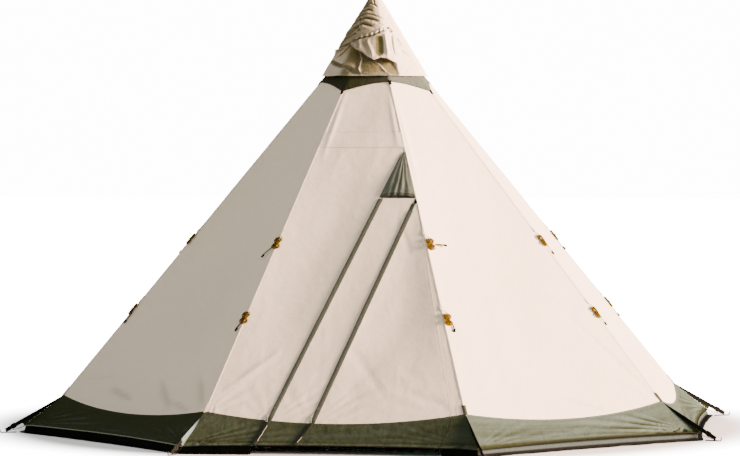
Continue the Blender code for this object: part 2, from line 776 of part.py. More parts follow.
def make_corner_strap(corner, material):
    """The upright fin on a corner of the skirt, with the webbing along its upper edge that runs to the peg."""
    name = "corner_strap_" + CORNER_NAMES[corner]
    out = bearing(corner + 0.5)
    side = across(corner + 0.5)
    start = corner_point(corner, SEAM_RADIUS, GAP) + out * STRAP_STAND
    end = out * STRAP_REACH + UP * STRAP_END_HEIGHT
    hem = skirt_point(corner, 1.0, 1.0) + out * (2 * GAP) + UP * (2 * GAP)
    along = (end - start).normalized()
    rise = side.cross(along)
    rise = rise if rise.z > 0 else -rise
    reach = (hem - start).dot(along)
    fin_height = -(hem - start).dot(rise)
    stations = [(start, FIN_EDGE), (start + along * reach, fin_height),
                (start + along * (reach + FIN_NOSE), STRAP_WIDTH), (end, STRAP_WIDTH)]
    work = bmesh.new()
    rings = []
    for place, leg in stations:
        half = FIN_THICKNESS / 2
        section = [(-half, FIN_EDGE), (-half, -leg), (half, -leg), (half, FIN_EDGE)]
        rings.append([work.verts.new(place + side * w + rise * h) for w, h in section])
    for ring, following in zip(rings, rings[1:]):
        for i in range(len(ring)):
            after = (i + 1) % len(ring)
            work.faces.new((ring[i], ring[after], following[after], following[i]))
    work.faces.new(rings[0][::-1])
    work.faces.new(rings[-1])
    strap = add_object(name, finish_mesh(name, work), material)
    unite(strap, make_peg(name + "_peg", out, side))


def make_peg(name, out, side):
    """A round steel peg that lies on the ground, with its hook turned up at the outer end."""
    start = HEM_RADIUS + FLAP_FLARE + FLAP_LIP + PEG_CLEARANCE
    line = [(start, 0.0), (PEG_END - PEG_BEND, 0.0), (PEG_END - 0.3 * PEG_BEND, 0.3 * PEG_BEND),
            (PEG_END, PEG_BEND), (PEG_END, PEG_HOOK)]
    sides = 8
    work = bmesh.new()
    rings = []
    for i, (reach, height) in enumerate(line):
        ahead = line[min(i + 1, len(line) - 1)]
        behind = line[max(i - 1, 0)]
        along = (out * (ahead[0] - behind[0]) + UP * (ahead[1] - behind[1])).normalized()
        lift = along.cross(side).normalized()
        middle = out * reach + UP * (height + PEG_RADIUS)
        ring = []
        for k in range(sides):
            angle = 2 * math.pi * (k + 0.5) / sides
            size = PEG_RADIUS * (PEG_POINT if i == 0 else 1.0)
            spoke = side * (size * math.cos(angle)) + lift * (size * math.sin(angle))
            ring.append(work.verts.new(middle + spoke))
        rings.append(ring)
    for ring, following in zip(rings, rings[1:]):
        for k in range(sides):
            after = (k + 1) % sides
            work.faces.new((ring[k], ring[after], following[after], following[k]))
    work.faces.new(rings[0][::-1])
    work.faces.new(rings[-1])
    return add_guide(name, finish_mesh(name, work))


# Guylines

def hank_path():
    """Points (across, up, out) of a guyline's hank, with its lead at the top and its tail at the foot.

    Round turns of two straight runs and two half circles spiral in on the cloth, climb to a second
    layer and spiral out again. The runs are drawn in at the waist.
    """
    half_run = HANK_RUN / 2
    half_turns = HANK_TURNS / 2
    points = []

    def half_width(turn):
        inward = min(turn, HANK_TURNS - turn, half_turns)
        return HANK_HALF_WIDTH - HANK_PITCH * inward

    def lift(turn):
        return CORD_RADIUS + GAP + HANK_LAYER * smooth_step(half_turns - 0.25, half_turns + 0.25, turn)

    def add_run(turn, sign, downward):
        for up in ((half_run, 0.0) if downward else (-half_run, 0.0)):
            at = turn + (0.0 if up else 0.125)
            waist = 1 - HANK_WAIST * math.cos(math.pi * up / HANK_RUN)
            points.append((sign * half_width(at) * waist, up, lift(at)))

    def add_arc(turn, start_sign, upward):
        for step in range(ARC_STEPS):
            share = step / ARC_STEPS
            at = turn + 0.25 * share
            angle = math.pi * share
            reach = half_width(at)
            end = half_run if upward else -half_run
            rise = reach * math.sin(angle) * (1 if upward else -1)
            points.append((start_sign * reach * math.cos(angle), end + rise, lift(at)))

    points.append((0.0, half_run + HANK_HALF_WIDTH + GUY_LEAD, lift(0)))
    points.append((0.25 * HANK_HALF_WIDTH, half_run + HANK_HALF_WIDTH + 0.4 * GUY_LEAD, lift(0)))
    points.append((0.85 * HANK_HALF_WIDTH, half_run + 0.75 * HANK_HALF_WIDTH, lift(0)))
    for turn in range(HANK_TURNS):
        add_run(turn, 1, True)
        add_arc(turn + 0.25, 1, False)
        add_run(turn + 0.5, -1, False)
        add_arc(turn + 0.75, -1, True)
    end = HANK_TURNS
    add_run(end, 1, True)
    points.append((TAIL_START * HANK_HALF_WIDTH, -half_run, lift(end)))
    points.append((TAIL_END * HANK_HALF_WIDTH, -half_run - HANK_TAIL, lift(end)))
    return points


def least_gap(points, diameter, skip):
    """Smallest clear distance of a cord to itself, between stretches that aren't neighbours along it."""
    fine = []
    for start, end in zip(points, points[1:]):
        for k in range(4):
            fine.append(Vector(start).lerp(Vector(end), k / 4))
    least = math.inf
    for i, point in enumerate(fine):
        for other in fine[i + 4 * skip:]:
            least = min(least, (point - other).length)
    return least - diameter


def make_guyline(name, corner, radius, path, material):
    """One guyline on a corner line, its hank lying on the ridge of the canvas."""
    out = bearing(corner + 0.5)
    side = across(corner + 0.5)
    upward = (corner_point(corner, radius - 0.5) - corner_point(corner, radius)).normalized()
    normal = side.cross(upward)
    normal = normal if normal.dot(out) > 0 else -normal
    shift = DOOR_CORNER_SHIFT if corner == 0 else 0.0
    place = corner_point(corner, radius)
    curve = bpy.data.curves.new(name, "CURVE")
    curve.dimensions = "3D"
    curve.bevel_depth = CORD_RADIUS
    curve.bevel_resolution = 0
    curve.use_fill_caps = True
    spline = curve.splines.new("POLY")
    spline.points.add(len(path) - 1)
    top = path[0][1]
    for point, (x, y, z) in zip(spline.points, path):
        shared = shift * smooth_step(0.0, GUY_LEAD, top - y)
        where = place + side * (x + shared) + upward * (y - top) + normal * z
        point.co = (*where, 1.0)
    return add_object(name, curve, material)


# Vent collar, net and cap

def make_collar(material):
    """The dark collar over the walls' top edge. Its foot runs high and low from corner to corner."""
    columns = []
    for corner in range(SIDES):
        foot = COLLAR_LOW_RADIUS if corner % 2 else COLLAR_HIGH_RADIUS
        following = COLLAR_HIGH_RADIUS if corner % 2 else COLLAR_LOW_RADIUS
        lift = GAP + COLLAR_CLOTH
        radii = spaced(COLLAR_TOP_RADIUS, foot, 3)
        columns.append([mitred_pair(corner, radius, lift, COLLAR_CLOTH) for radius in radii])
        for share in (0.25, 0.5, 0.75):
            end = blend(foot, following, share) - COLLAR_ARCH * math.sin(math.pi * share)
            line = between(left_corner, shifted(right_corner, GAP), share)
            radii = spaced(COLLAR_TOP_RADIUS, end, 3)
            columns.append([flat_pair(corner + 1, line(radius), radius, lift, COLLAR_CLOTH)
                            for radius in radii])
    add_object("vent_collar", sheet_mesh("vent_collar", columns, closed=True), material)


def make_vent_net(material):
    """The net from the walls' top to the crown, with a rib of webbing along each corner."""
    lift = -CANVAS - 2 * GAP
    radii = spaced(NET_TOP_RADIUS, WALL_TOP_RADIUS + NET_LAP, 3)
    columns = []
    for corner in range(SIDES):
        face = corner + 1
        columns.append([mitred_pair(corner, radius, lift, RIB_THICKNESS) for radius in radii])
        for edge, thickness in ((RIB_WIDTH / 2, RIB_THICKNESS), (RIB_WIDTH / 2 + RIB_EDGE, NET)):
            columns.append([flat_pair(face, left_corner(radius) + edge, radius, lift, thickness)
                            for radius in radii])
        for edge, thickness in ((RIB_WIDTH / 2 + RIB_EDGE, NET), (RIB_WIDTH / 2, RIB_THICKNESS)):
            columns.append([flat_pair(face, -left_corner(radius) - edge, radius, lift, thickness)
                            for radius in radii])
    add_object("vent_net", sheet_mesh("vent_net", columns, closed=True), material)


def cap_radius(height_share, azimuth):
    """Radius of the cap's outer side: a cone with blunt corners, crumpled at the front left."""
    cone = CAP_HEM_RADIUS * (1 - height_share)
    off_corner = (azimuth / STEP + 0.5) % 1.0 - 0.5
    flat = COS_HALF / math.cos(off_corner * STEP)
    free = 1 - smooth_step(CAP_ROUND_SHARE - 0.15, CAP_ROUND_SHARE, height_share)
    rounding = blend(1.0, flat / COS_HALF * 0.975, 0.5 * free)
    degrees = math.degrees(azimuth)
    spread = smooth_step(-78, -50, degrees) * (1 - smooth_step(22, 36, degrees))
    ridge = blend(0.37, 0.16, smooth_step(-45, 28, degrees))
    under = smooth_step(0.0, 0.07, height_share) * (1 - smooth_step(ridge - 0.05, ridge + 0.015, height_share))
    over = smooth_step(ridge - 0.02, ridge + 0.03, height_share)
    over *= 1 - smooth_step(ridge + 0.06, ridge + 0.26, height_share)
    folded = cone * rounding + free * spread * (CAP_FOLD_BULGE * over - CAP_FOLD_DEPTH * under)
    height = blend(CAP_HEM_HEIGHT, CAP_TIP_HEIGHT, height_share)
    return max(folded, (APEX_HEIGHT - height) / PITCH + CAP_CLEARANCE)


def make_cap(material, parent):
    """The cap: a pointed cone of cloth with a fold that hangs over at the front left."""
    shares = [0.0, 0.07, 0.13, 0.18, 0.23, 0.29, 0.35, 0.41, 0.50, 0.62, 0.74, CAP_ROUND_SHARE, CAP_END_SHARE]
    height = CAP_TIP_HEIGHT - CAP_HEM_HEIGHT
    slope = math.hypot(height, CAP_HEM_RADIUS)
    inward = CAP_CLOTH * slope / height
    columns = []
    for i in range(CAP_SEGMENTS):
        azimuth = 2 * math.pi * i / CAP_SEGMENTS
        signed = (azimuth + math.pi) % (2 * math.pi) - math.pi
        out = bearing(azimuth / STEP)
        column = []
        for share in reversed(shares):
            radius = cap_radius(share, signed)
            up = UP * (CAP_HEM_HEIGHT + height * share)
            column.append((out * radius + up, out * (radius - inward) + up))
        columns.append(column)
    work_mesh = sheet_mesh("vent_cap", columns, closed=True)
    work = bmesh.new()
    work.from_mesh(work_mesh)
    work.verts.ensure_lookup_table()
    top = max(vert.co.z for vert in work.verts)
    rim = [edge for edge in work.edges if all(vert.co.z > top - 0.0001 for vert in edge.verts)]
    flat = [face for face in work.faces if all(vert.co.z > top - 0.0001 for vert in face.verts)]
    bmesh.ops.delete(work, geom=flat, context="FACES_ONLY")
    reach = [max(math.hypot(vert.co.x, vert.co.y) for vert in edge.verts) for edge in rim]
    border = [edge for edge in rim if edge.is_boundary]
    outer = [edge for edge in border if math.hypot(*edge.verts[0].co[:2]) > max(reach) - 0.5 * CAP_CLOTH]
    inner = [edge for edge in border if edge not in outer]
    tip = CAP_TIP_HEIGHT - CAP_TIP_DROP
    for ring, height_of_tip in ((outer, tip), (inner, tip - 1.6 * CAP_CLOTH)):
        middle = work.verts.new((0, 0, height_of_tip))
        for edge in ring:
            work.faces.new((edge.verts[0], edge.verts[1], middle))
    bpy.data.meshes.remove(work_mesh)
    return add_object("vent_cap", finish_mesh("vent_cap", work), material, parent)


def turned(name, outline, segments, material, parent=None, solid=False, smooth_angle=35):
    """A body turned round the pole's axis from (radius, height) points, closed on the axis if solid."""
    work = bmesh.new()
    verts = [work.verts.new((radius, 0, height)) for radius, height in outline]
    edges = [work.edges.new(pair) for pair in zip(verts, verts[1:])]
    if not solid:
        edges.append(work.edges.new((verts[-1], verts[0])))
    bmesh.ops.spin(work, geom=verts + edges, cent=(0, 0, 0), axis=(0, 0, 1), angle=2 * math.pi,
                   steps=segments, use_merge=True)
    bmesh.ops.remove_doubles(work, verts=work.verts, dist=0.00001)
    mesh = finish_mesh(name, work, smooth_angle)
    if material is None:
        return add_guide(name, mesh)
    return add_object(name, mesh, material, parent)


def make_hub(material):
    """The crown hub: an eight-sided cone that bears on the net's ribs, with a socket and a sleeve."""
    inset = (CANVAS + 3 * GAP + RIB_THICKNESS) / RIDGE_SHARE
    work = bmesh.new()
    base_radius = (APEX_HEIGHT - HUB_BASE) / PITCH - inset
    cone_radius = (APEX_HEIGHT - HUB_CONE_TOP) / PITCH - inset
    rings = []
    for radius, height in ((base_radius, HUB_BASE), (cone_radius, HUB_CONE_TOP)):
        rings.append([work.verts.new(bearing(corner + 0.5) * radius + UP * height) for corner in range(SIDES)])
    for corner in range(SIDES):
        after = (corner + 1) % SIDES
        work.faces.new((rings[0][corner], rings[0][after], rings[1][after], rings[1][corner]))
    work.faces.new(rings[0][::-1])
    work.faces.new(rings[1])
    hub = add_object("crown_hub", finish_mesh("crown_hub", work), material)
    sleeve = turned("hub_sleeve", [(0, HUB_BASE + CUT_PAST), (HUB_SLEEVE_RADIUS, HUB_BASE + CUT_PAST),
                                   (HUB_SLEEVE_RADIUS, HUB_SLEEVE_TOP - HUB_CHAMFER),
                                   (HUB_SLEEVE_RADIUS - HUB_CHAMFER, HUB_SLEEVE_TOP), (0, HUB_SLEEVE_TOP)],
                    24, None, solid=True)
    unite(hub, sleeve)
    socket = SPIGOT_RADIUS + RUNNING_GAP
    bore = STEM_RADIUS + RUNNING_GAP
    ceiling = HUB_BASE + SOCKET_DEPTH
    room = turned("hub_bore", [(0, HUB_BASE - CUT_PAST), (socket, HUB_BASE - CUT_PAST), (socket, ceiling),
                               (bore, ceiling + SPIGOT_TAPER), (bore, HUB_SLEEVE_TOP + CUT_PAST),
                               (0, HUB_SLEEVE_TOP + CUT_PAST)], 24, None, solid=True)
    cut(hub, room)
    return hub


def make_stem(material, parent):
    """The stem that stands in the hub's sleeve on its collar and carries the cap on its finial."""
    height = CAP_TIP_HEIGHT - CAP_HEM_HEIGHT
    slope = math.hypot(height, CAP_HEM_RADIUS) / height
    inside = (CAP_CLOTH + 2 * GAP) * slope

    def fit(level_height):
        return CAP_HEM_RADIUS * (CAP_TIP_HEIGHT - level_height) / height - inside

    finial_top = CAP_HEM_HEIGHT + CAP_END_SHARE * height - 2 * GAP
    stem_foot = HUB_BASE + SOCKET_DEPTH + STEM_FOOT_GAP
    tip = 0.15 * STEM_RADIUS
    outline = [(0, stem_foot), (STEM_RADIUS - tip, stem_foot), (STEM_RADIUS, stem_foot + tip),
               (STEM_RADIUS, HUB_SLEEVE_TOP + GAP), (STEM_COLLAR_RADIUS, HUB_SLEEVE_TOP + GAP),
               (STEM_COLLAR_RADIUS, HUB_SLEEVE_TOP + GAP + STEM_COLLAR),
               (STEM_RADIUS, HUB_SLEEVE_TOP + GAP + STEM_COLLAR + STEM_FILLET),
               (STEM_RADIUS, FINIAL_BASE - FINIAL_NECK), (fit(FINIAL_BASE), FINIAL_BASE),
               (fit(finial_top), finial_top), (0, finial_top)]
    return turned("cap_stem", outline, CAP_SEGMENTS, material, parent, solid=True)


# The telescopic pole

def make_pole(rubber, metal, plastic):
    """Foot, lower tube, clamp with its lever, and the upper tube with its spigot."""
    cup = LOWER_TUBE_RADIUS + GAP
    turned("pole_foot", [(0, 0), (FOOT_RADIUS - FOOT_CHAMFER, 0), (FOOT_RADIUS, FOOT_CHAMFER),
                         (FOOT_RADIUS - FOOT_CHAMFER, FOOT_FLANGE),
                         (cup + FOOT_WALL, FOOT_HEIGHT - FOOT_CHAMFER),
                         (cup + FOOT_WALL - FOOT_CHAMFER, FOOT_HEIGHT), (cup, FOOT_HEIGHT),
                         (cup, FOOT_SOLE), (0, FOOT_SOLE)], 32, rubber, solid=True)
    inner = LOWER_TUBE_RADIUS - TUBE_WALL
    turned("pole_lower_tube", [(LOWER_TUBE_RADIUS, FOOT_SOLE + GAP), (LOWER_TUBE_RADIUS, LOWER_TUBE_TOP),
                               (inner, LOWER_TUBE_TOP), (inner, FOOT_SOLE + GAP)], 32, metal)
    axis = add_axis("pole_axis", Vector((0, 0, LOWER_TUBE_TOP)))
    inner = UPPER_TUBE_RADIUS - TUBE_WALL
    shoulder = HUB_BASE - GAP
    flange = UPPER_TUBE_RADIUS + HEAD_FLANGE
    flange_foot = shoulder - HEAD_FLANGE_LENGTH
    plug_foot = flange_foot - HEAD_PLUG
    spigot_top = shoulder + SOCKET_DEPTH - RUNNING_GAP
    turned("pole_upper_tube", [(UPPER_TUBE_RADIUS, TUBE_OVERLAP_FOOT),
                               (UPPER_TUBE_RADIUS, flange_foot - HEAD_TAPER),
                               (flange, flange_foot), (flange, shoulder), (SPIGOT_RADIUS, shoulder),
                               (SPIGOT_RADIUS, spigot_top - SPIGOT_TAPER),
                               (SPIGOT_RADIUS - SPIGOT_TAPER, spigot_top),
                               (0, spigot_top), (0, plug_foot), (inner, plug_foot - HEAD_TAPER),
                               (inner, TUBE_OVERLAP_FOOT)], 32, metal, axis)
    make_clamp(plastic)
    make_lever(plastic)


def clamp_pin_radius():
    """Distance from the pole's axis to the lever's pin."""
    return LOWER_TUBE_RADIUS + CLAMP_WALL + RUNNING_GAP + EYE_RADIUS


def make_clamp(material):
    """The clamp on the lower tube's end, with two lugs and the lever's pin."""
    grip = LOWER_TUBE_RADIUS + GAP
    neck = UPPER_TUBE_RADIUS + RUNNING_GAP
    outer = LOWER_TUBE_RADIUS + CLAMP_WALL
    step = LOWER_TUBE_TOP + GAP
    clamp = turned("pole_clamp", [(grip, CLAMP_BASE), (outer, CLAMP_BASE), (outer, CLAMP_TOP - CLAMP_CHAMFER),
                                  (outer - CLAMP_CHAMFER, CLAMP_TOP), (neck, CLAMP_TOP),
                                  (neck, step), (grip, step)], 32, material)
    pin_at = clamp_pin_radius()
    lug_low = CLAMP_BASE + LUG_LOW_SETBACK
    lug_high = CLAMP_TOP - LUG_HIGH_SETBACK - LUG_THICKNESS
    root = grip + LUG_ROOT
    for name, base in (("lug_low", lug_low), ("lug_high", lug_high)):
        work = bmesh.new()
        half = EYE_RADIUS
        plan = [(-half, -root), (half, -root), (half, -pin_at)]
        plan += [(half * math.cos(a), -pin_at - half * math.sin(a)) for a in
                 [math.pi * k / 8 for k in range(1, 8)]]
        plan.append((-half, -pin_at))
        ring = [work.verts.new((x, y, base)) for x, y in plan]
        face = work.faces.new(ring)
        grown = bmesh.ops.extrude_face_region(work, geom=[face])
        lifted = [item for item in grown["geom"] if isinstance(item, bmesh.types.BMVert)]
        bmesh.ops.translate(work, verts=lifted, vec=(0, 0, LUG_THICKNESS))
        unite(clamp, add_guide(name, finish_mesh(name, work)))
    pin_foot = lug_low + 0.3 * LUG_THICKNESS
    pin_top = lug_high + 0.7 * LUG_THICKNESS
    pin = turned("lever_pin", [(0, pin_foot), (PIN_RADIUS, pin_foot), (PIN_RADIUS, pin_top), (0, pin_top)],
                 16, None, solid=True)
    pin.location = (0, -pin_at, 0)
    unite(clamp, pin)


def make_lever(material):
    """The lever on its pin, curved round the clamp, with its free end turned out for a finger."""
    pin_at = clamp_pin_radius()
    base = CLAMP_BASE + LUG_LOW_SETBACK + LUG_THICKNESS + RUNNING_GAP
    top = CLAMP_TOP - LUG_HIGH_SETBACK - LUG_THICKNESS - RUNNING_GAP
    axis = add_axis("lever_axis", Vector((0, -pin_at, 0)))
    inner = LOWER_TUBE_RADIUS + CLAMP_WALL + RUNNING_GAP
    outer = inner + LEVER_THICKNESS
    plan = []
    for k in range(LEVER_STEPS + 1):
        angle = blend(LEVER_START, LEVER_SWEEP, k / LEVER_STEPS)
        plan.append((outer * math.sin(angle), -outer * math.cos(angle)))
    tab_end = LEVER_SWEEP + LEVER_TAB
    for reach in (outer + LEVER_TAB_OUT, outer + LEVER_TAB_OUT - LEVER_TAB_THICKNESS):
        plan.append((reach * math.sin(tab_end), -reach * math.cos(tab_end)))
    for k in range(LEVER_STEPS + 1):
        angle = blend(LEVER_SWEEP, LEVER_START, k / LEVER_STEPS)
        plan.append((inner * math.sin(angle), -inner * math.cos(angle)))
    work = bmesh.new()
    ring = [work.verts.new((x, y, base)) for x, y in plan]
    face = work.faces.new(ring)
    grown = bmesh.ops.extrude_face_region(work, geom=[face])
    lifted = [item for item in grown["geom"] if isinstance(item, bmesh.types.BMVert)]
    bmesh.ops.translate(work, verts=lifted, vec=(0, 0, top - base))
    lever = add_object("clamp_lever", finish_mesh("clamp_lever", work), material, axis)
    eye = turned("lever_eye", [(0, base), (EYE_RADIUS - GAP, base), (EYE_RADIUS - GAP, top), (0, top)], 20,
                 None, solid=True)
    eye.location = (0, -pin_at, 0)
    unite(lever, eye)
    bore = PIN_RADIUS + RUNNING_GAP
    hole = turned("lever_hole", [(0, base - CUT_PAST), (bore, base - CUT_PAST), (bore, top + CUT_PAST),
                                 (0, top + CUT_PAST)], 16, None, solid=True)
    hole.location = (0, -pin_at, 0)
    cut(lever, hole)


FACE_NAMES = ["front", "front_right", "right", "back_right", "back", "back_left", "left", "front_left"]
CORNER_NAMES = ["door_right", "side_right_front", "side_right_back", "back_right",
                "back_left", "side_left_back", "side_left_front", "door_left"]


def main():
    """Builds the tent."""
    clear_scene()
    canvas = make_material("tan canvas", (0.68, 0.62, 0.53), 0.85)
    olive = make_material("olive skirt cloth", (0.085, 0.090, 0.045), 0.75)
    trim = make_material("green-grey trim cloth", (0.13, 0.14, 0.095), 0.75)
    hood = make_material("grey-green hood cloth", (0.19, 0.21, 0.155), 0.75)
    webbing = make_material("dark webbing", (0.035, 0.038, 0.025), 0.8)
    net = make_material("dark net", (0.03, 0.032, 0.022), 0.9)
    cord = make_material("yellow cord", (0.70, 0.40, 0.03), 0.6)
    steel = make_material("bright metal", (0.62, 0.63, 0.62), 0.35, 1.0)
    plastic = make_material("black plastic", (0.02, 0.02, 0.02), 0.45)
    rubber = make_material("black rubber", (0.015, 0.015, 0.015), 0.8)

    front_wall("wall_front", canvas)
    front_right_wall("wall_front_right", canvas)
    for face in range(2, SIDES):
        plain_wall("wall_" + FACE_NAMES[face], face, canvas)
    make_skirts(olive)
    make_ground_flap(olive)
    flat_panel("door_vent_net", shifted(left_zip, GAP), shifted(right_corner, -GAP),
               ZIP_TOP_RADIUS + DOOR_NET_TOP_GAP, net, foot=DOOR_TOP_RADIUS, cloth=NET, count=4)
    make_hood(hood)
    make_door(canvas, olive, trim, steel)
    for corner in range(SIDES):
        make_corner_strap(corner, webbing)
    path = hank_path()
    print("least gap of a hank to itself, mm:", round(1000 * least_gap(path, 2 * CORD_RADIUS, 3), 2))
    for corner in range(SIDES):
        make_guyline("guyline_upper_" + CORNER_NAMES[corner], corner, UPPER_GUY_RADIUS, path, cord)
        make_guyline("guyline_lower_" + CORNER_NAMES[corner], corner, LOWER_GUY_RADIUS, path, cord)
    make_collar(trim)
    make_vent_net(net)
    make_hub(plastic)
    cap_axis = add_axis("cap_axis", Vector((0, 0, HUB_SLEEVE_TOP)))
    make_cap(canvas, cap_axis)
    make_stem(plastic, cap_axis)
    make_pole(rubber, steel, plastic)


if __name__ == "__main__":
    main()
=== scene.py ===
"""Eight-sided canvas tipi on one centre pole: the cloth, cords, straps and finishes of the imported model.

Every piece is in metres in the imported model's frame: +Z up, the origin on the ground under the pole,
and the door face towards -Y. Faces are counted from the door face towards +X, and corner n lies between
faces n and n + 1. On a face, x runs across it, and a radius names the level: it is the distance from
the axis to the corner of the canvas at that height.
"""

from __future__ import annotations

import logging
import math
from dataclasses import dataclass, field
from enum import Enum
from functools import partial
from typing import Callable, Iterable, Sequence

import bmesh
import bpy
from mathutils import Matrix, Vector, noise

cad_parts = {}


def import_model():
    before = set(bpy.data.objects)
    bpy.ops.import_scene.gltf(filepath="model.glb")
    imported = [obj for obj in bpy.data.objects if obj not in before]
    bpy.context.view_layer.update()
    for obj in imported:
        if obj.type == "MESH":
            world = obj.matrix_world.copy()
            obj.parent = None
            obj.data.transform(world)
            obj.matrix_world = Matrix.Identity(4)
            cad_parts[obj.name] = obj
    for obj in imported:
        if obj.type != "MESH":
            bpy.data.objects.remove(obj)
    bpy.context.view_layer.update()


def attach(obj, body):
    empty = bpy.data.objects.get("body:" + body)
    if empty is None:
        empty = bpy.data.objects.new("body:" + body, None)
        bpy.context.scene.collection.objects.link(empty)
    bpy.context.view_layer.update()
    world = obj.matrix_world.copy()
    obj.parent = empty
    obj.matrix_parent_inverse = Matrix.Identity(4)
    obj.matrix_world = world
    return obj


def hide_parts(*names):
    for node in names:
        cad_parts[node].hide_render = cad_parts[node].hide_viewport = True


LOG = logging.getLogger("tipi")
UP = Vector((0.0, 0.0, 1.0))
Colour = tuple[float, float, float]
Line = Callable[[float], float]


def blend(a: float, b: float, share: float) -> float:
    """The value that lies a share of the way from a to b."""
    return a + (b - a) * share


def smooth_step(low: float, high: float, value: float) -> float:
    """Climbs smoothly from 0 at low to 1 at high."""
    share = min(max((value - low) / (high - low), 0.0), 1.0)
    return share * share * (3.0 - 2.0 * share)


def ripple(x: float, y: float, z: float = 0.0) -> float:
    """Smooth repeatable noise from about -1 to 1."""
    return noise.noise(Vector((x, y, z)))


def even(count: int) -> list[float]:
    """Shares from 0 to 1 in even steps."""
    return [i / count for i in range(count + 1)]


class Place(Enum):
    """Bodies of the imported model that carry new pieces."""

    TENT = "tent"
    DOOR = "door"
    LEFT_SLIDER = "zip_slider_left"
    RIGHT_SLIDER = "zip_slider_right"
    CAP = "cap"


FACES = ("front", "front_right", "right", "back_right", "back", "back_left", "left", "front_left")
CORNERS = ("door_right", "side_right_front", "side_right_back", "back_right",
           "back_left", "side_left_back", "side_left_front", "door_left")


@dataclass(frozen=True)
class TentForm:
    """The tent's cone, seam, hem and doorway lines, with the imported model's sizes."""

    sides: int = 8
    apex_height: float = 2.7
    seam_radius: float = 2.1
    seam_height: float = 0.23
    seam_dip: float = 0.055
    wall_top: float = 0.35
    wall_sag: float = 0.018
    cloth: float = 0.002
    gap: float = 0.0003
    hem_radius: float = 2.348
    hem_height: float = 0.045
    hem_rise: float = 0.012
    hem_draw: float = 0.03
    skirt_belly: float = 0.008
    skirt_fall: float = 0.31
    skirt_cut: float = 0.33
    zip_top: float = 0.742
    door_top: float = 1.0
    canvas_top: float = 1.03
    left_zip_foot: float = 0.42
    right_zip_foot: float = 0.69
    left_zip_hem: float = 0.432
    right_zip_hem: float = 0.683
    hinge_margin: float = 0.09
    cut_margin: float = 0.236

    @property
    def step(self) -> float:
        """Angle between two corners."""
        return 2 * math.pi / self.sides

    @property
    def cos_half(self) -> float:
        """Cosine of half the angle between two corners."""
        return math.cos(self.step / 2)

    @property
    def sin_half(self) -> float:
        """Sine of half the angle between two corners."""
        return math.sin(self.step / 2)

    @property
    def pitch(self) -> float:
        """Fall of the canvas for each metre of radius."""
        return (self.apex_height - self.seam_height) / self.seam_radius

    @property
    def slope(self) -> float:
        """Length down a face for each metre of radius."""
        return math.hypot(self.cos_half, self.pitch)

    @property
    def hem_half(self) -> float:
        """Half the width of a face at the hem."""
        return self.sin_half * self.hem_radius

    def bearing(self, turns: float) -> Vector:
        """Horizontal unit vector out from the axis, with turns counted in faces from the door face."""
        return Vector((math.sin(turns * self.step), -math.cos(turns * self.step), 0.0))

    def across(self, turns: float) -> Vector:
        """Horizontal unit vector along a face, towards the next one."""
        return Vector((math.cos(turns * self.step), math.sin(turns * self.step), 0.0))

    def level(self, radius: float) -> float:
        """Height of the canvas where its corner is at a radius."""
        return self.apex_height - self.pitch * radius

    def normal(self, face: float) -> Vector:
        """Unit vector out of a face's plane."""
        return (self.bearing(face) * self.pitch + UP * self.cos_half).normalized()

    @property
    def ridge_share(self) -> float:
        """How much of a move out along a corner's bearing lifts the faces beside it."""
        return self.bearing(0.5).dot(self.normal(0))

    def point(self, face: float, x: float, radius: float, lift: float = 0.0) -> Vector:
        """Point of a face's plane, raised out of it by a lift."""
        flat = self.bearing(face) * (self.cos_half * radius) + self.across(face) * x + UP * self.level(radius)
        return flat + self.normal(face) * lift

    def corner(self, corner: int, radius: float, lift: float = 0.0) -> Vector:
        """Point of a corner line of the surface that lies a lift outside the faces."""
        return self.bearing(corner + 0.5) * (radius + lift / self.ridge_share) + UP * self.level(radius)

    def beside_corner(self, corner: int, offset: float, radius: float, lift: float,
                      ridge: float = 0.0) -> Vector:
        """A point near a corner line, on the face that it falls on.

        Args:
            corner: the corner.
            offset: distance from its line, towards the next face.
            radius: the level.
            lift: height off the face.
            ridge: further height on the line itself.

        Returns:
            The point.
        """
        if abs(offset) < 1e-6:
            return self.corner(corner, radius, lift + ridge)
        if offset < 0:
            return self.point(corner, self.sin_half * radius + offset, radius, lift)
        return self.point(corner + 1, -self.sin_half * radius + offset, radius, lift)

    def left_corner(self, radius: float) -> float:
        """A face's left corner as x."""
        return -self.sin_half * radius

    def right_corner(self, radius: float) -> float:
        """A face's right corner as x."""
        return self.sin_half * radius - self.gap

    def line(self, start_radius: float, start_x: float, end_radius: float, end_x: float) -> Line:
        """A straight line on a face, as x by radius."""
        return lambda radius: blend(start_x, end_x, (radius - start_radius) / (end_radius - start_radius))

    def door_line(self, top: float, foot_x: float) -> Line:
        """A line from the face's right corner at a level down to a place on its plain foot."""
        return self.line(top, self.sin_half * top, self.seam_radius, foot_x)

    @property
    def left_zip(self) -> Line:
        """Line of the left zip."""
        return self.door_line(self.zip_top, self.left_zip_foot - self.sin_half * self.seam_radius)

    @property
    def right_zip(self) -> Line:
        """Line of the right zip."""
        return self.door_line(self.door_top, self.right_zip_foot - self.sin_half * self.seam_radius)

    @property
    def hinge(self) -> Line:
        """Line on which the door is hung."""
        return self.door_line(self.door_top, self.sin_half * self.seam_radius - self.hinge_margin)

    def seam(self, share: float) -> float:
        """Radius of the seam between wall and skirt, with share from -1 to 1 between a face's corners."""
        return self.seam_radius + self.seam_dip * (1 - share * share)

    def meet_seam(self, line: Line) -> float:
        """Radius at which a line on a face reaches the seam."""
        radius = self.seam_radius
        for _ in range(30):
            radius = self.seam(line(radius) / (self.sin_half * radius))
        return radius

    def seam_share(self, line: Line) -> float:
        """Where a line reaches the seam, from -1 to 1 between the corners."""
        radius = self.meet_seam(line)
        return line(radius) / (self.sin_half * radius)

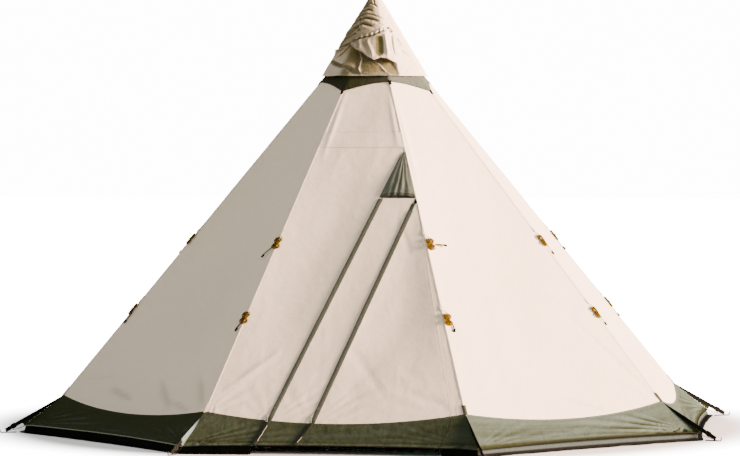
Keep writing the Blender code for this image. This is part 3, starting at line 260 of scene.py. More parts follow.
    def skirt(self, face: float, share: float, drop: float) -> Vector:
        """Point of a skirt panel's outer side: drop 0 at the seam to 1 at the hem."""
        radius = self.seam(share)
        top = self.point(face, share * self.sin_half * radius, radius)
        arch = 1 - share * share
        reach = self.cos_half * self.hem_radius - self.hem_draw * arch
        foot = self.bearing(face) * reach + self.across(face) * (share * self.hem_half)
        foot += UP * (self.hem_height + self.hem_rise * arch)
        belly = self.normal(face) * (self.skirt_belly * arch * math.sin(math.pi * drop))
        return top.lerp(foot, drop) - belly

    def skirt_normal(self, face: float, share: float, drop: float) -> Vector:
        """Unit vector out of a skirt panel."""
        reach = 0.01
        low = min(max(share, reach - 1), 1 - reach)
        side = self.skirt(face, low + reach, drop) - self.skirt(face, low - reach, drop)
        fall_to = min(drop + reach, 1.0)
        fall = self.skirt(face, low, fall_to) - self.skirt(face, low, fall_to - reach)
        return fall.cross(side).normalized()


FORM = TentForm()


def shifted(line: Line, distance: float) -> Line:
    """A line beside another, a distance towards the next face."""
    return lambda radius: line(radius) + distance


def between(left: Line, right: Line, share: float) -> Line:
    """The line a share of the way from one line to another."""
    return lambda radius: blend(left(radius), right(radius), share)


def paint(colour: Colour, by: float = 1.0) -> tuple[float, ...]:
    """A colour for a socket, made lighter or darker by a factor."""
    return (*[by * part for part in colour], 1.0)


class Sheet:
    """A shader node tree under construction."""

    def __init__(self, tree: bpy.types.NodeTree) -> None:
        """Starts on a tree.

        Args:
            tree: the tree that the nodes are added to.
        """
        self.tree = tree

    def add(self, kind: str, **settings: object) -> bpy.types.Node:
        """Adds a node and sets its properties.

        Args:
            kind: the node's Blender type.
            settings: properties by name.

        Returns:
            The new node.
        """
        node = self.tree.nodes.new(kind)
        for name, value in settings.items():
            setattr(node, name, value)
        return node

    def put(self, target: bpy.types.NodeSocket, value: object) -> None:
        """Links a socket to an input, or sets a plain value on it."""
        if isinstance(value, bpy.types.NodeSocket):
            self.tree.links.new(value, target)
        else:
            target.default_value = value

    def fill(self, node: bpy.types.Node, **values: object) -> bpy.types.Node:
        """Puts values on a node's inputs by name (an underscore stands for a space)."""
        for name, value in values.items():
            self.put(node.inputs[name.replace("_", " ")], value)
        return node

    def cloth(self) -> bpy.types.NodeSocket:
        """The piece's own cloth coordinates."""
        return self.add("ShaderNodeUVMap", uv_map="UVMap").outputs["UV"]

    def place(self) -> bpy.types.NodeSocket:
        """The place on the object."""
        return self.add("ShaderNodeTexCoord").outputs["Object"]

    def attribute(self, name: str) -> bpy.types.NodeSocket:
        """A value that the mesh holds at its points."""
        return self.add("ShaderNodeAttribute", attribute_name=name).outputs["Fac"]

    def split(self, vector: bpy.types.NodeSocket) -> bpy.types.NodeOutputs:
        """A vector's parts by axis."""
        node = self.add("ShaderNodeSeparateXYZ")
        self.put(node.inputs[0], vector)
        return node.outputs

    def times(self, first: object, second: object) -> bpy.types.NodeSocket:
        """One value times another."""
        return self.math("MULTIPLY", first, second)

    def math(self, operation: str, *values: object, clamp: bool = False) -> bpy.types.NodeSocket:
        """A Math node's result."""
        node = self.add("ShaderNodeMath", operation=operation, use_clamp=clamp)
        for target, value in zip(node.inputs, values):
            self.put(target, value)
        return node.outputs[0]

    def scale(self, vector: bpy.types.NodeSocket, by: tuple[float, float, float]) -> bpy.types.NodeSocket:
        """A vector scaled along each axis by a Mapping node."""
        node = self.add("ShaderNodeMapping")
        self.put(node.inputs["Vector"], vector)
        node.inputs["Scale"].default_value = by
        return node.outputs["Vector"]

    def noise(self, vector: bpy.types.NodeSocket, scale: object, detail: float = 2.0,
              roughness: float = 0.5) -> bpy.types.NodeSocket:
        """A Noise Texture's value from 0 to 1."""
        node = self.add("ShaderNodeTexNoise")
        return self.fill(node, Vector=vector, Scale=scale, Detail=detail, Roughness=roughness).outputs["Fac"]

    def ramp(self, value: bpy.types.NodeSocket, low: float, high: float, start: float = 0.0,
             end: float = 1.0) -> bpy.types.NodeSocket:
        """A value mapped smoothly from one range to another."""
        node = self.add("ShaderNodeMapRange", interpolation_type="SMOOTHSTEP")
        self.fill(node, Value=value, From_Min=low, From_Max=high, To_Min=start, To_Max=end)
        return node.outputs["Result"]

    def mix(self, share: object, first: object, second: object, mode: str = "MIX") -> bpy.types.NodeSocket:
        """Two colours mixed by a share."""
        node = self.add("ShaderNodeMix", data_type="RGBA", blend_type=mode)
        self.put(node.inputs[0], share)
        self.put(node.inputs[6], first)
        self.put(node.inputs[7], second)
        return node.outputs[2]

    def bump(self, height: bpy.types.NodeSocket, distance: float, strength: float = 1.0,
             normal: bpy.types.NodeSocket | None = None) -> bpy.types.NodeSocket:
        """A Bump node's normal."""
        node = self.fill(self.add("ShaderNodeBump"), Strength=strength, Distance=distance, Height=height)
        if normal is not None:
            self.put(node.inputs["Normal"], normal)
        return node.outputs["Normal"]

    def group(self, made: bpy.types.NodeTree, **values: object) -> bpy.types.Node:
        """Places a node group, with its inputs given as for fill."""
        return self.fill(self.add("ShaderNodeGroup", node_tree=made), **values)


def begin(name: str) -> tuple[bpy.types.Material, Sheet, bpy.types.Node]:
    """A new material, with its node tree and its shader."""
    material = bpy.data.materials.new(name)
    material.use_nodes = True
    return material, Sheet(material.node_tree), material.node_tree.nodes["Principled BSDF"]


class Effects:
    """Node groups that several finishes share, each built once."""

    def __init__(self) -> None:
        """Builds the groups."""
        self.weave = self._weave()
        self.crumple = self._crumple()
        self.stitches = self._stitches()
        self.wear = self._wear()

    @staticmethod
    def _start(name: str, inputs: dict[str, float | None],
               outputs: Sequence[str]) -> tuple[Sheet, bpy.types.NodeOutputs, bpy.types.NodeInputs]:
        """A new group with its sockets.

        Args:
            name: the group's name.
            inputs: each input's default value, or None for a vector.
            outputs: the names of its outputs, which are all numbers.

        Returns:
            The sheet, the sockets that come in and the sockets that go out.
        """
        tree = bpy.data.node_groups.new(name, "ShaderNodeTree")
        for label, value in inputs.items():
            kind = "NodeSocketVector" if value is None else "NodeSocketFloat"
            socket = tree.interface.new_socket(label, in_out="INPUT", socket_type=kind)
            if value is not None:
                socket.default_value = value
        for label in outputs:
            tree.interface.new_socket(label, in_out="OUTPUT", socket_type="NodeSocketFloat")
        sheet = Sheet(tree)
        return sheet, sheet.add("NodeGroupInput").outputs, sheet.add("NodeGroupOutput").inputs

    def _weave(self) -> bpy.types.NodeTree:
        """Plain weave from cloth coordinates: a height, and a tint of thick and thin threads."""
        sheet, source, result = self._start("Plain weave", {"Cloth": None, "Threads": 1000.0},
                                            ("Height", "Slubs"))
        parts = sheet.split(source["Cloth"])
        turns = sheet.times(source["Threads"], math.pi)
        over, under = (sheet.math("SINE", sheet.times(parts[axis], turns)) for axis in "XY")
        sheet.put(result["Height"], sheet.math("MULTIPLY_ADD", sheet.times(over, under), 0.5, 0.5))
        warp, weft = (sheet.noise(sheet.scale(source["Cloth"], way), 1.0, 1.0)
                      for way in ((420.0, 9.0, 1.0), (9.0, 420.0, 1.0)))
        sheet.put(result["Slubs"], sheet.math("MULTIPLY_ADD", sheet.math("ADD", warp, weft), 0.5, 0.0))
        return sheet.tree

    def _crumple(self) -> bpy.types.NodeTree:
        """Soft creases of handled cloth, as a height."""
        sheet, source, result = self._start("Handled creases", {"Vector": None, "Scale": 6.0}, ("Height",))
        broad = sheet.noise(source["Vector"], source["Scale"], 3.0, 0.55)
        ridge = sheet.math("ABSOLUTE", sheet.math("SUBTRACT", broad, 0.5))
        fine = sheet.noise(source["Vector"], sheet.times(source["Scale"], 3.7), 2.0, 0.5)
        sheet.put(result["Height"], sheet.math("ADD", sheet.times(ridge, -1.6), sheet.times(fine, 0.35)))
        return sheet.tree

    def _stitches(self) -> bpy.types.NodeTree:
        """A row of stitches at an offset from a sewn edge, as a mask, and the dent that it draws."""
        sheet, source, result = self._start(
            "Stitch row", {"Distance": 0.0, "Along": 0.0, "Offset": 0.004, "Stitch": 0.0045},
            ("Mask", "Dent"))
        away = sheet.math("ABSOLUTE", sheet.math("SUBTRACT", source["Distance"], source["Offset"]))
        phase = sheet.math("FRACT", sheet.math("DIVIDE", source["Along"], source["Stitch"]))
        dash = sheet.math("GREATER_THAN", phase, 0.28)
        sheet.put(result["Mask"], sheet.times(sheet.ramp(away, 0.0004, 0.0008, 1.0, 0.0), dash))
        sheet.put(result["Dent"], sheet.ramp(away, 0.0, 0.0035, 1.0, 0.0))
        return sheet.tree

    def _wear(self) -> bpy.types.NodeTree:
        """Dust low down and faint stains all over, as masks from object coordinates."""
        sheet, source, result = self._start("Dust and stains", {"Object": None, "Dust Top": 0.12},
                                            ("Dust", "Stain"))
        rise = sheet.math("DIVIDE", sheet.split(source["Object"])["Z"], source["Dust Top"])
        low = sheet.math("SUBTRACT", 1.0, rise, clamp=True)
        cloud = sheet.noise(source["Object"], 9.0, 4.0, 0.6)
        sheet.put(result["Dust"], sheet.math("MULTIPLY", low, cloud, clamp=True))
        sheet.put(result["Stain"], sheet.noise(source["Object"], 1.7, 3.0, 0.5))
        return sheet.tree


@dataclass(frozen=True)
class ClothFinish:
    """A woven cloth's finish.

    The thread count is threads to the metre, and crease_depth is the bump's distance in metres.
    """

    name: str
    colour: Colour
    shade: Colour
    threads: float = 1100.0
    roughness: float = 0.85
    sheen: float = 0.12
    weave_depth: float = 0.00012
    crease_scale: float = 5.0
    crease_depth: float = 0.004
    stain: float = 0.25
    dust_and_painted_light: Colour = (0.42, 0.38, 0.31)
    dust_top: float = 0.1
    dust_share: float = 0.3
    thread_colour: Colour | None = None
    specular: float = 0.12
    # the tone painted in by the mesh's share of painted light and shade: darker for painted shade, lighter for
    # painted sheen
    soil: Colour = (0.26, 0.19, 0.06)
    slub_share: float = 0.35
    valley_share: float = 0.18
    stitch_rows: tuple[float, ...] = (0.0035, 0.0115)
    stitch_share: float = 0.8
    stitch_dent: float = 0.0006

    def make(self, effects: Effects) -> bpy.types.Material:
        """Builds the material.

        Args:
            effects: the shared node groups.

        Returns:
            The material.
        """
        material, sheet, shader = begin(self.name)
        place = sheet.place()
        weave = sheet.group(effects.weave, Cloth=sheet.cloth(), Threads=self.threads).outputs
        wear = sheet.group(effects.wear, Object=place, Dust_Top=self.dust_top).outputs
        slubs = sheet.times(sheet.ramp(weave["Slubs"], 0.38, 0.62), self.slub_share)
        base = sheet.mix(slubs, paint(self.colour), paint(self.shade))
        stain = sheet.times(sheet.ramp(wear["Stain"], 0.45, 0.75), self.stain)
        base = sheet.mix(stain, base, paint(self.shade))
        valley = sheet.times(sheet.math("SUBTRACT", 1.0, weave["Height"]), self.valley_share)
        base = sheet.mix(valley, base, paint(self.shade, 0.55))
        base = sheet.mix(sheet.times(wear["Dust"], self.dust_share), base, paint(self.dust_and_painted_light))
        # painted light and shade: mixes towards that tone by the mesh's share
        base = sheet.mix(sheet.attribute("soil"), base, paint(self.soil))
        crumple = sheet.group(effects.crumple, Vector=place, Scale=self.crease_scale)
        height = sheet.bump(crumple.outputs["Height"], self.crease_depth)
        seam, along = sheet.attribute("seam"), sheet.attribute("along")
        for offset in self.stitch_rows:
            row = sheet.group(effects.stitches, Distance=seam, Along=along, Offset=offset).outputs
            thread = paint(self.thread_colour or self.shade)
            base = sheet.mix(sheet.times(row["Mask"], self.stitch_share), base, thread)
            height = sheet.bump(sheet.times(row["Dent"], -1.0), self.stitch_dent, 1.0, height)
        height = sheet.bump(weave["Height"], self.weave_depth, 1.0, height)
        rough = sheet.ramp(weave["Slubs"], 0.3, 0.7, self.roughness, self.roughness - 0.08)
        sheet.fill(shader, Base_Color=base, Roughness=rough, Normal=height, Sheen_Weight=self.sheen,
                   Sheen_Roughness=0.6, Specular_IOR_Level=self.specular)
        return material


@dataclass(frozen=True)
class CordFinish:
    """A braided cord's finish, with its braid along the cord's own coordinates."""

    name: str
    colour: Colour
    fleck: Colour
    strands: float = 4.0
    plaits: float = 420.0
    depth: float = 0.0004

    def make(self, effects: Effects) -> bpy.types.Material:
        """Builds the material."""
        material, sheet, shader = begin(self.name)
        parts = sheet.split(sheet.cloth())
        around = sheet.times(parts["Y"], 2 * math.pi * self.strands)
        along = sheet.times(parts["X"], 2 * math.pi * self.plaits)
        over = sheet.math("SINE", sheet.math("ADD", around, along))
        plait = sheet.times(over, sheet.math("SINE", sheet.math("SUBTRACT", around, along)))
        shaded = sheet.math("MULTIPLY_ADD", plait, 0.22, 0.25)
        base = sheet.mix(shaded, paint(self.colour), paint(self.colour, 0.4))
        bright = sheet.math("GREATER_THAN", over, 0.93)
        base = sheet.mix(sheet.times(bright, 0.4), base, paint(self.fleck))
        wear = sheet.group(effects.wear, Object=sheet.place()).outputs
        base = sheet.mix(sheet.times(wear["Stain"], 0.3), base, paint(self.colour, 0.5))
        sheet.fill(shader, Base_Color=base, Normal=sheet.bump(plait, self.depth), Roughness=0.7,
                   Specular_IOR_Level=0.02)
        return material


@dataclass(frozen=True)
class WebbingFinish:
    """A narrow woven strap's finish: ribs across it, and rows of threads along it."""

    name: str
    colour: Colour
    ribs: float = 700.0
    rows: float = 320.0
    depth: float = 0.0004
    roughness: float = 0.8
    dust_and_painted_light: Colour = (0.3, 0.27, 0.22)
    dust_top: float = 0.08
    dust_share: float = 0.012
    specular: float = 0.03
    # pale tone of a painted highlight, mixed in by the mesh's share of painted light and shade
    pale_and_painted_highlight: Colour = (0.072, 0.11, 0.115)

    def make(self, effects: Effects) -> bpy.types.Material:
        """Builds the material."""
        material, sheet, shader = begin(self.name)
        parts = sheet.split(sheet.cloth())
        rib = sheet.math("SINE", sheet.times(parts["Y"], 2 * math.pi * self.ribs))
        row = sheet.math("SINE", sheet.times(parts["X"], 2 * math.pi * self.rows))
        height = sheet.math("MULTIPLY_ADD", sheet.times(rib, row), 0.5, 0.5)
        base = sheet.mix(sheet.times(height, 0.5), paint(self.colour, 0.6), paint(self.colour, 1.5))
        wear = sheet.group(effects.wear, Object=sheet.place(), Dust_Top=self.dust_top).outputs
        base = sheet.mix(sheet.times(wear["Dust"], self.dust_share), base, paint(self.dust_and_painted_light))
        # painted highlight where the mesh's share is set
        base = sheet.mix(sheet.attribute("soil"), base, paint(self.pale_and_painted_highlight))
        sheet.fill(shader, Base_Color=base, Normal=sheet.bump(height, self.depth), Roughness=self.roughness,
                   Specular_IOR_Level=self.specular)
        return material


@dataclass(frozen=True)
class NetFinish:
    """Insect net: threads with clear holes between them."""

    name: str
    colour: Colour
    holes: float = 620.0
    hole_share: float = 0.62
    clear: float = 0.45
    depth: float = 0.0002

    def make(self, effects: Effects) -> bpy.types.Material:
        """Builds the material."""
        material, sheet, shader = begin(self.name)
        parts = sheet.split(sheet.cloth())
        rows = []
        for axis in "XY":
            phase = sheet.math("FRACT", sheet.times(parts[axis], self.holes))
            rows.append(sheet.math("GREATER_THAN", phase, self.hole_share))
        thread = sheet.math("MAXIMUM", *rows)
        wear = sheet.group(effects.wear, Object=sheet.place()).outputs
        base = sheet.mix(wear["Stain"], paint(self.colour), paint(self.colour, 1.8))
        cover = sheet.math("MULTIPLY_ADD", thread, 1 - self.clear, self.clear)
        sheet.fill(shader, Base_Color=base, Alpha=cover, Normal=sheet.bump(thread, self.depth), Roughness=0.8)
        return material


@dataclass(frozen=True)
class HardFinish:
    """A finish for metal, moulded plastic or rubber, with fine grain and worn, brighter patches."""

    name: str
    colour: Colour
    roughness: float
    metallic: float = 0.0
    grain: float = 900.0
    grain_depth: float = 0.00004
    worn: float = 0.15
    brushed: bool = False
    specular: float = 0.5
    dust_and_painted_light: Colour = (0.33, 0.3, 0.25)
    dust_top: float = 0.06
    dust_share: float = 0.3

    def make(self, effects: Effects) -> bpy.types.Material:
        """Builds the material."""
        material, sheet, shader = begin(self.name)
        place = sheet.place()
        stretch = (1.0, 1.0, 0.03 if self.brushed else 1.0)
        grain = sheet.noise(sheet.scale(place, stretch), self.grain, 2.0)
        patches = sheet.times(sheet.ramp(sheet.noise(place, 38.0, 3.0), 0.5, 0.72), self.worn)
        bright = (*[min(1.0, 1.7 * part + 0.02) for part in self.colour], 1.0)
        base = sheet.mix(patches, paint(self.colour), bright)
        wear = sheet.group(effects.wear, Object=place, Dust_Top=self.dust_top).outputs
        base = sheet.mix(sheet.times(wear["Dust"], self.dust_share), base, paint(self.dust_and_painted_light))
        rough = sheet.math("MULTIPLY_ADD", grain, 0.2, self.roughness - 0.1)
        sheet.fill(shader, Base_Color=base, Roughness=rough, Normal=sheet.bump(grain, self.grain_depth),
                   Metallic=self.metallic, Specular_IOR_Level=self.specular)
        return material


class Finishes:
    """Every finish of the tent, by what it is for."""

    def __init__(self) -> None:
        """Builds the shared effects and the materials."""
        effects = Effects()
        coated = partial(ClothFinish, threads=900.0, sheen=0.0)
        # The last colour given for each cloth is its painted light and shade tone: darker, as painted shade,
        # for the canvas, cap, trim and hood; lighter, as painted light, for the skirt, flap and collar.
        cloths = {
            "canvas": ClothFinish("tan tent canvas", (0.58, 0.526, 0.402), (0.492, 0.44, 0.322),
                                  soil=(0.36, 0.34, 0.25)),
            "cap": ClothFinish("cap canvas", (0.56, 0.5, 0.385), (0.42, 0.36, 0.235), crease_scale=14.0,
                               crease_depth=0.008, soil=(0.06, 0.055, 0.01)),
            "skirt": coated("olive skirt cloth", (0.016, 0.02, 0.0048), (0.012, 0.015, 0.003), roughness=0.65,
                            specular=0.02, crease_scale=7.0, crease_depth=0.008, stain=0.5, dust_share=0.02,
                            thread_colour=(0.03, 0.035, 0.02), soil=(0.057, 0.081, 0.068)),
            # near-black: partly the coated cloth's own colour, partly painted shade for the hollow under the
            # hem
            "flap": coated("dark ground flap cloth", (0.0014, 0.0018, 0.001), (0.001, 0.0012, 0.0007),
                           roughness=0.6, specular=0.01, crease_scale=9.0, crease_depth=0.006, dust_share=0.0,
                           soil=(0.048, 0.066, 0.06)),
            "trim": coated("green-grey storm flap cloth", (0.042, 0.052, 0.042), (0.032, 0.04, 0.031),
                           roughness=0.62, specular=0.03, crease_scale=12.0, crease_depth=0.003,
                           soil=(0.006, 0.007, 0.003)),
            "hood": coated("grey-green hood cloth", (0.066, 0.08, 0.062), (0.048, 0.058, 0.043),
                           roughness=0.6, crease_scale=22.0, crease_depth=0.003, soil=(0.02, 0.025, 0.016)),
            "collar": coated("dark collar cloth", (0.016, 0.019, 0.007), (0.011, 0.013, 0.005),
                             roughness=0.55, specular=0.02, crease_scale=16.0, crease_depth=0.005,
                             soil=(0.052, 0.064, 0.052)),
        }
        self.cloths = {name: finish.make(effects) for name, finish in cloths.items()}
        self.webbing = WebbingFinish("dark corner webbing", (0.0045, 0.005, 0.003)).make(effects)
        self.tab_webbing = WebbingFinish("olive tab webbing", (0.034, 0.038, 0.026)).make(effects)
        self.piping = WebbingFinish("olive hem piping", (0.009, 0.011, 0.004)).make(effects)
        # pale webbing; on the left side's hem piping it is a painted highlight
        self.pale_and_painted_highlight = WebbingFinish("bleached trim webbing", (0.21, 0.23, 0.17)).make(effects)
        self.net = NetFinish("dark insect net", (0.02, 0.021, 0.015)).make(effects)
        yellow = CordFinish("yellow guyline braid", (0.096, 0.056, 0.0008), (0.16, 0.095, 0.0015))
        self.cord = yellow.make(effects)
        dark = CordFinish("dark loop braid", (0.006, 0.0065, 0.003), (0.014, 0.015, 0.008))
        self.olive_cord = dark.make(effects)
        bright = HardFinish("bright pole steel", (0.62, 0.63, 0.62), 0.32, 1.0, brushed=True)
        self.steel = bright.make(effects)
        self.zinc = HardFinish("dulled slider zinc", (0.17, 0.17, 0.155), 0.5, 1.0, grain=600.0).make(effects)
        self.peg = HardFinish("dull peg steel", (0.03, 0.03, 0.026), 0.6, 0.4, grain=600.0, worn=0.05,
                              specular=0.1, dust_share=0.02).make(effects)
        self.plastic = HardFinish("black moulded plastic", (0.006, 0.006, 0.0055), 0.6, worn=0.05,
                                  specular=0.04, dust_share=0.01).make(effects)
        self.rubber = HardFinish("black foot rubber", (0.015, 0.015, 0.014), 0.8, grain=500.0,
                                 grain_depth=0.0001).make(effects)


def start_clean() -> None:
    """Leaves edit mode and deselects everything."""
    if bpy.context.object is not None and bpy.context.object.mode != "OBJECT":
        bpy.ops.object.mode_set(mode="OBJECT")
    bpy.ops.object.select_all(action="DESELECT")


def named(name: str) -> bpy.types.Object:
    """Names the active object and its mesh."""
    item = bpy.context.object
    item.name = name
    item.data.name = name
    return item


def pick(item: bpy.types.Object) -> None:
    """Makes a piece the only one selected, and the active one."""
    start_clean()
    item.select_set(True)
    bpy.context.view_layer.objects.active = item


def apply_all(item: bpy.types.Object) -> None:
    """Applies an object's modifiers in order."""
    pick(item)
    for modifier in list(item.modifiers):
        bpy.ops.object.modifier_apply(modifier=modifier.name)


def smooth(item: bpy.types.Object, degrees: float = 40.0) -> None:
    """Shades an object smooth up to an angle."""
    pick(item)
    bpy.ops.object.shade_smooth_by_angle(angle=math.radians(degrees))


def sink_ends(item: bpy.types.Object, steps: Iterable[tuple[float, float]]) -> None:
    """Insets the faces that look up or down, once for each (thickness, depth)."""
    bpy.ops.object.mode_set(mode="EDIT")
    bpy.ops.mesh.select_all(action="DESELECT")
    bpy.ops.mesh.select_mode(type="FACE")
    bpy.ops.object.mode_set(mode="OBJECT")
    for face in item.data.polygons:
        face.select = abs(face.normal.z) > 0.9
    bpy.ops.object.mode_set(mode="EDIT")
    for thickness, depth in steps:
        bpy.ops.mesh.inset(thickness=thickness, depth=depth)
    bpy.ops.object.mode_set(mode="OBJECT")


def round_edges(item: bpy.types.Object, width: float) -> None:
    """Bevels a piece's edges."""
    bevel = item.modifiers.new("round", "BEVEL")
    bevel.width = width
    bevel.segments = 2
    apply_all(item)


def facing(way: Vector) -> Matrix:
    """The turn that makes a piece's own up look a way."""
    return way.to_track_quat("Z", "Y").to_matrix().to_4x4()


def length_of(path: Sequence[Vector]) -> float:
    """Length along a path."""
    return sum((b - a).length for a, b in zip(path, path[1:]))


def dress(item: bpy.types.Object, material: bpy.types.Material, body: Place, *nodes: str,
          slot: str | None = None) -> bpy.types.Object:
    """Gives a piece its material and body, and hides the CAD nodes that it stands for.

    Args:
        item: the piece.
        material: its finish.
        body: the body that it rides on.
        nodes: the CAD nodes that it replaces.
        slot: a material slot's name; not used.

    Returns:
        The piece.
    """
    item.data.materials.clear()
    item.data.materials.append(material)
    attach(item, body.value)
    if nodes:
        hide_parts(*nodes)
    LOG.info("piece %s", item.name)
    return item


@dataclass
class Knot:
    """A point of a cloth grid: place, cloth coordinates, distance to the nearest sewn edge, and its share of
    painted light and shade.
    """

    place: Vector
    u: float
    v: float
    seam: float = 1.0
    # share of the finish's painted light and shade tone: painted shade on some cloths, painted sheen and
    # highlights on others
    soil: float = 0.0


def lay_cloth(name: str, columns: int, rows: int, knot: Callable[[int, int], Knot], thickness: float,
              closed: bool = False, degrees: float = 40.0) -> bpy.types.Object:
    """A sheet of cloth from a grid primitive, with each of its points set by a rule.

    Args:
        name: the piece's name.
        columns: steps across, left to right as seen from outside.
        rows: steps down.
        knot: gives the point at a column and row.
        thickness: the cloth's thickness, laid on its inner side; 0 for a single surface.
        closed: whether the last column meets the first.
        degrees: edges sharper than this stay sharp.

    Returns:
        The piece.
    """
    start_clean()
    bpy.ops.mesh.primitive_grid_add(x_subdivisions=columns, y_subdivisions=rows, size=1.0, calc_uvs=True)
    item = named(name)
    mesh = item.data
    across = {value: i for i, value in enumerate(sorted({round(vert.co.x, 4) for vert in mesh.vertices}))}
    down = {value: j for j, value in enumerate(sorted({round(vert.co.y, 4) for vert in mesh.vertices},
                                                      reverse=True))}
    knots = [knot(across[round(vert.co.x, 4)], down[round(vert.co.y, 4)]) for vert in mesh.vertices]
    seam = mesh.attributes.new("seam", "FLOAT", "POINT")
    along = mesh.attributes.new("along", "FLOAT", "POINT")
    # each point's share of painted light and shade, which the finishes mix in
    soil = mesh.attributes.new("soil", "FLOAT", "POINT")
    for vert, at in zip(mesh.vertices, knots):
        vert.co = at.place
        seam.data[vert.index].value = at.seam
        soil.data[vert.index].value = at.soil
        along.data[vert.index].value = at.u + at.v
    layer = mesh.uv_layers.active.data
    for loop in mesh.loops:
        layer[loop.index].uv = (knots[loop.vertex_index].u, knots[loop.vertex_index].v)
    if closed:
        bpy.ops.object.mode_set(mode="EDIT")
        bpy.ops.mesh.select_all(action="SELECT")
        bpy.ops.mesh.remove_doubles(threshold=0.0002)
        bpy.ops.object.mode_set(mode="OBJECT")
    if thickness > 0:
        solid = item.modifiers.new("cloth", "SOLIDIFY")
        solid.thickness = thickness
        solid.offset = -1.0
        apply_all(item)
    smooth(item, degrees)
    return item


def corner_strip(name: str, corner: int, half: float, start: float, length: float, grid: tuple[int, int],
                 lift: Callable[[float], float], thickness: float, ridge: float = 0.0,
                 cut: float = 0.0) -> bpy.types.Object:
    """A straight strip of cloth that lies over a corner line.

    Args:
        name: the piece's name.
        corner: the corner.
        half: half its width.
        start: the radius at its upper end.
        length: its length.
        grid: steps across and down.
        lift: its height off the walls, by share of its length.
        thickness: the cloth's thickness.
        ridge: further height on the corner line.
        cut: cloth coordinate of its upper end.

    Returns:
        The piece.
    """
    def knot(i: int, j: int) -> Knot:
        """The cloth's point at a column and a row."""
        share = j / grid[1]
        offset = blend(-half, half, i / grid[0])
        run = share * length
        place = FORM.beside_corner(corner, offset, start + run / FORM.slope, lift(share), ridge)
        return Knot(place, offset, -cut - run, 1.0)

    return lay_cloth(name, *grid, knot, thickness)


def tube(name: str, points: Sequence[Vector], radius: float, material: bpy.types.Material,
         resolution: int = 2) -> bpy.types.Object:
    """A round tube along points, as a mesh whose cloth coordinates run along and around it.

    Args:
        name: the piece's name.
        points: the centreline.
        radius: the tube's radius.
        material: its finish.
        resolution: 4 + 2 * resolution sides go round it.

    Returns:
        The piece.
    """
    sides = 4 + 2 * resolution
    work = bmesh.new()
    layer = work.loops.layers.uv.new("UVMap")
    rings, lengths = [], [0.0]
    frame_side = None
    for i, point in enumerate(points):
        ahead = points[min(i + 1, len(points) - 1)]
        behind = points[max(i - 1, 0)]
        along = (ahead - behind).normalized()
        if frame_side is None:
            frame_side = along.orthogonal().normalized()
        frame_side = (frame_side - along * frame_side.dot(along)).normalized()
        other = along.cross(frame_side)
        ring = []
        for k in range(sides):
            angle = 2 * math.pi * k / sides
            out = frame_side * math.cos(angle) + other * math.sin(angle)
            ring.append(work.verts.new(point + out * radius))
        rings.append(ring)
        if i:
            lengths.append(lengths[-1] + (point - points[i - 1]).length)
    for i, (ring, following) in enumerate(zip(rings, rings[1:])):
        for k in range(sides):
            after = (k + 1) % sides
            face = work.faces.new((ring[k], ring[after], following[after], following[k]))
            turns = (k / sides, (k + 1) / sides, (k + 1) / sides, k / sides)
            reach = (lengths[i], lengths[i], lengths[i + 1], lengths[i + 1])
            for loop, u, v in zip(face.loops, reach, turns):
                loop[layer].uv = (u, v)
            face.smooth = True
    work.faces.new(rings[0][::-1])
    work.faces.new(rings[-1])
    bmesh.ops.recalc_face_normals(work, faces=work.faces)
    mesh = bpy.data.meshes.new(name)
    work.to_mesh(mesh)
    work.free()
    item = bpy.data.objects.new(name, mesh)
    bpy.context.collection.objects.link(item)
    mesh.materials.append(material)
    return item


def fair(points: Sequence[Vector], steps: int) -> list[Vector]:
    """A smooth curve through points.

    Args:
        points: what it runs through.
        steps: steps between each two of them.

    Returns:
        The curve's points.
    """
    out: list[Vector] = []
    for i in range(len(points) - 1):
        before = points[max(i - 1, 0)]
        start, end = points[i], points[i + 1]
        after = points[min(i + 2, len(points) - 1)]
        for k in range(steps):
            t = k / steps
            out.append(0.5 * ((2 * start) + (end - before) * t
                              + (2 * before - 5 * start + 4 * end - after) * t ** 2
                              + (3 * start - before - 3 * end + after) * t ** 3))
    out.append(points[-1].copy())
    return out


def declare(item: bpy.types.Object, width: float, length: float, held: str, area: float | None = None,
            on: Iterable[str] = ()) -> None:
    """Takes what a cloth piece was cut from, but records none of it.

    Args:
        item: the piece; not used.
        width: the flat cloth's width; not used.
        length: its length; not used.
        held: how it is held; not used.
        area: its flat area, where the cut is no rectangle; not used.
        on: the nodes that it lies on or hangs from.
    """
    list(on)


@dataclass(frozen=True)
class Pull:
    """A soft fold across a wall, between two points given as (share of the face's width, radius)."""

    face: int
    start: tuple[float, float]
    end: tuple[float, float]
    height: float
    width: float

    def at(self, x: float, radius: float) -> float:
        """Its height at a place on its face."""
        ax, bx = ((2 * share - 1) * FORM.sin_half * level for share, level in (self.start, self.end))
        ay, by = self.start[1] * FORM.slope, self.end[1] * FORM.slope
        dx, dy, px, py = bx - ax, by - ay, x - ax, radius * FORM.slope - ay
        part = (px * dx + py * dy) / (dx * dx + dy * dy)
        held = min(max(part, 0.0), 1.0)
        gap = math.hypot(px - dx * held, py - dy * held) / self.width
        if gap > 3.5:
            return 0.0
        return self.height * math.exp(-gap * gap) * (0.35 + 0.65 * math.sin(math.pi * held))


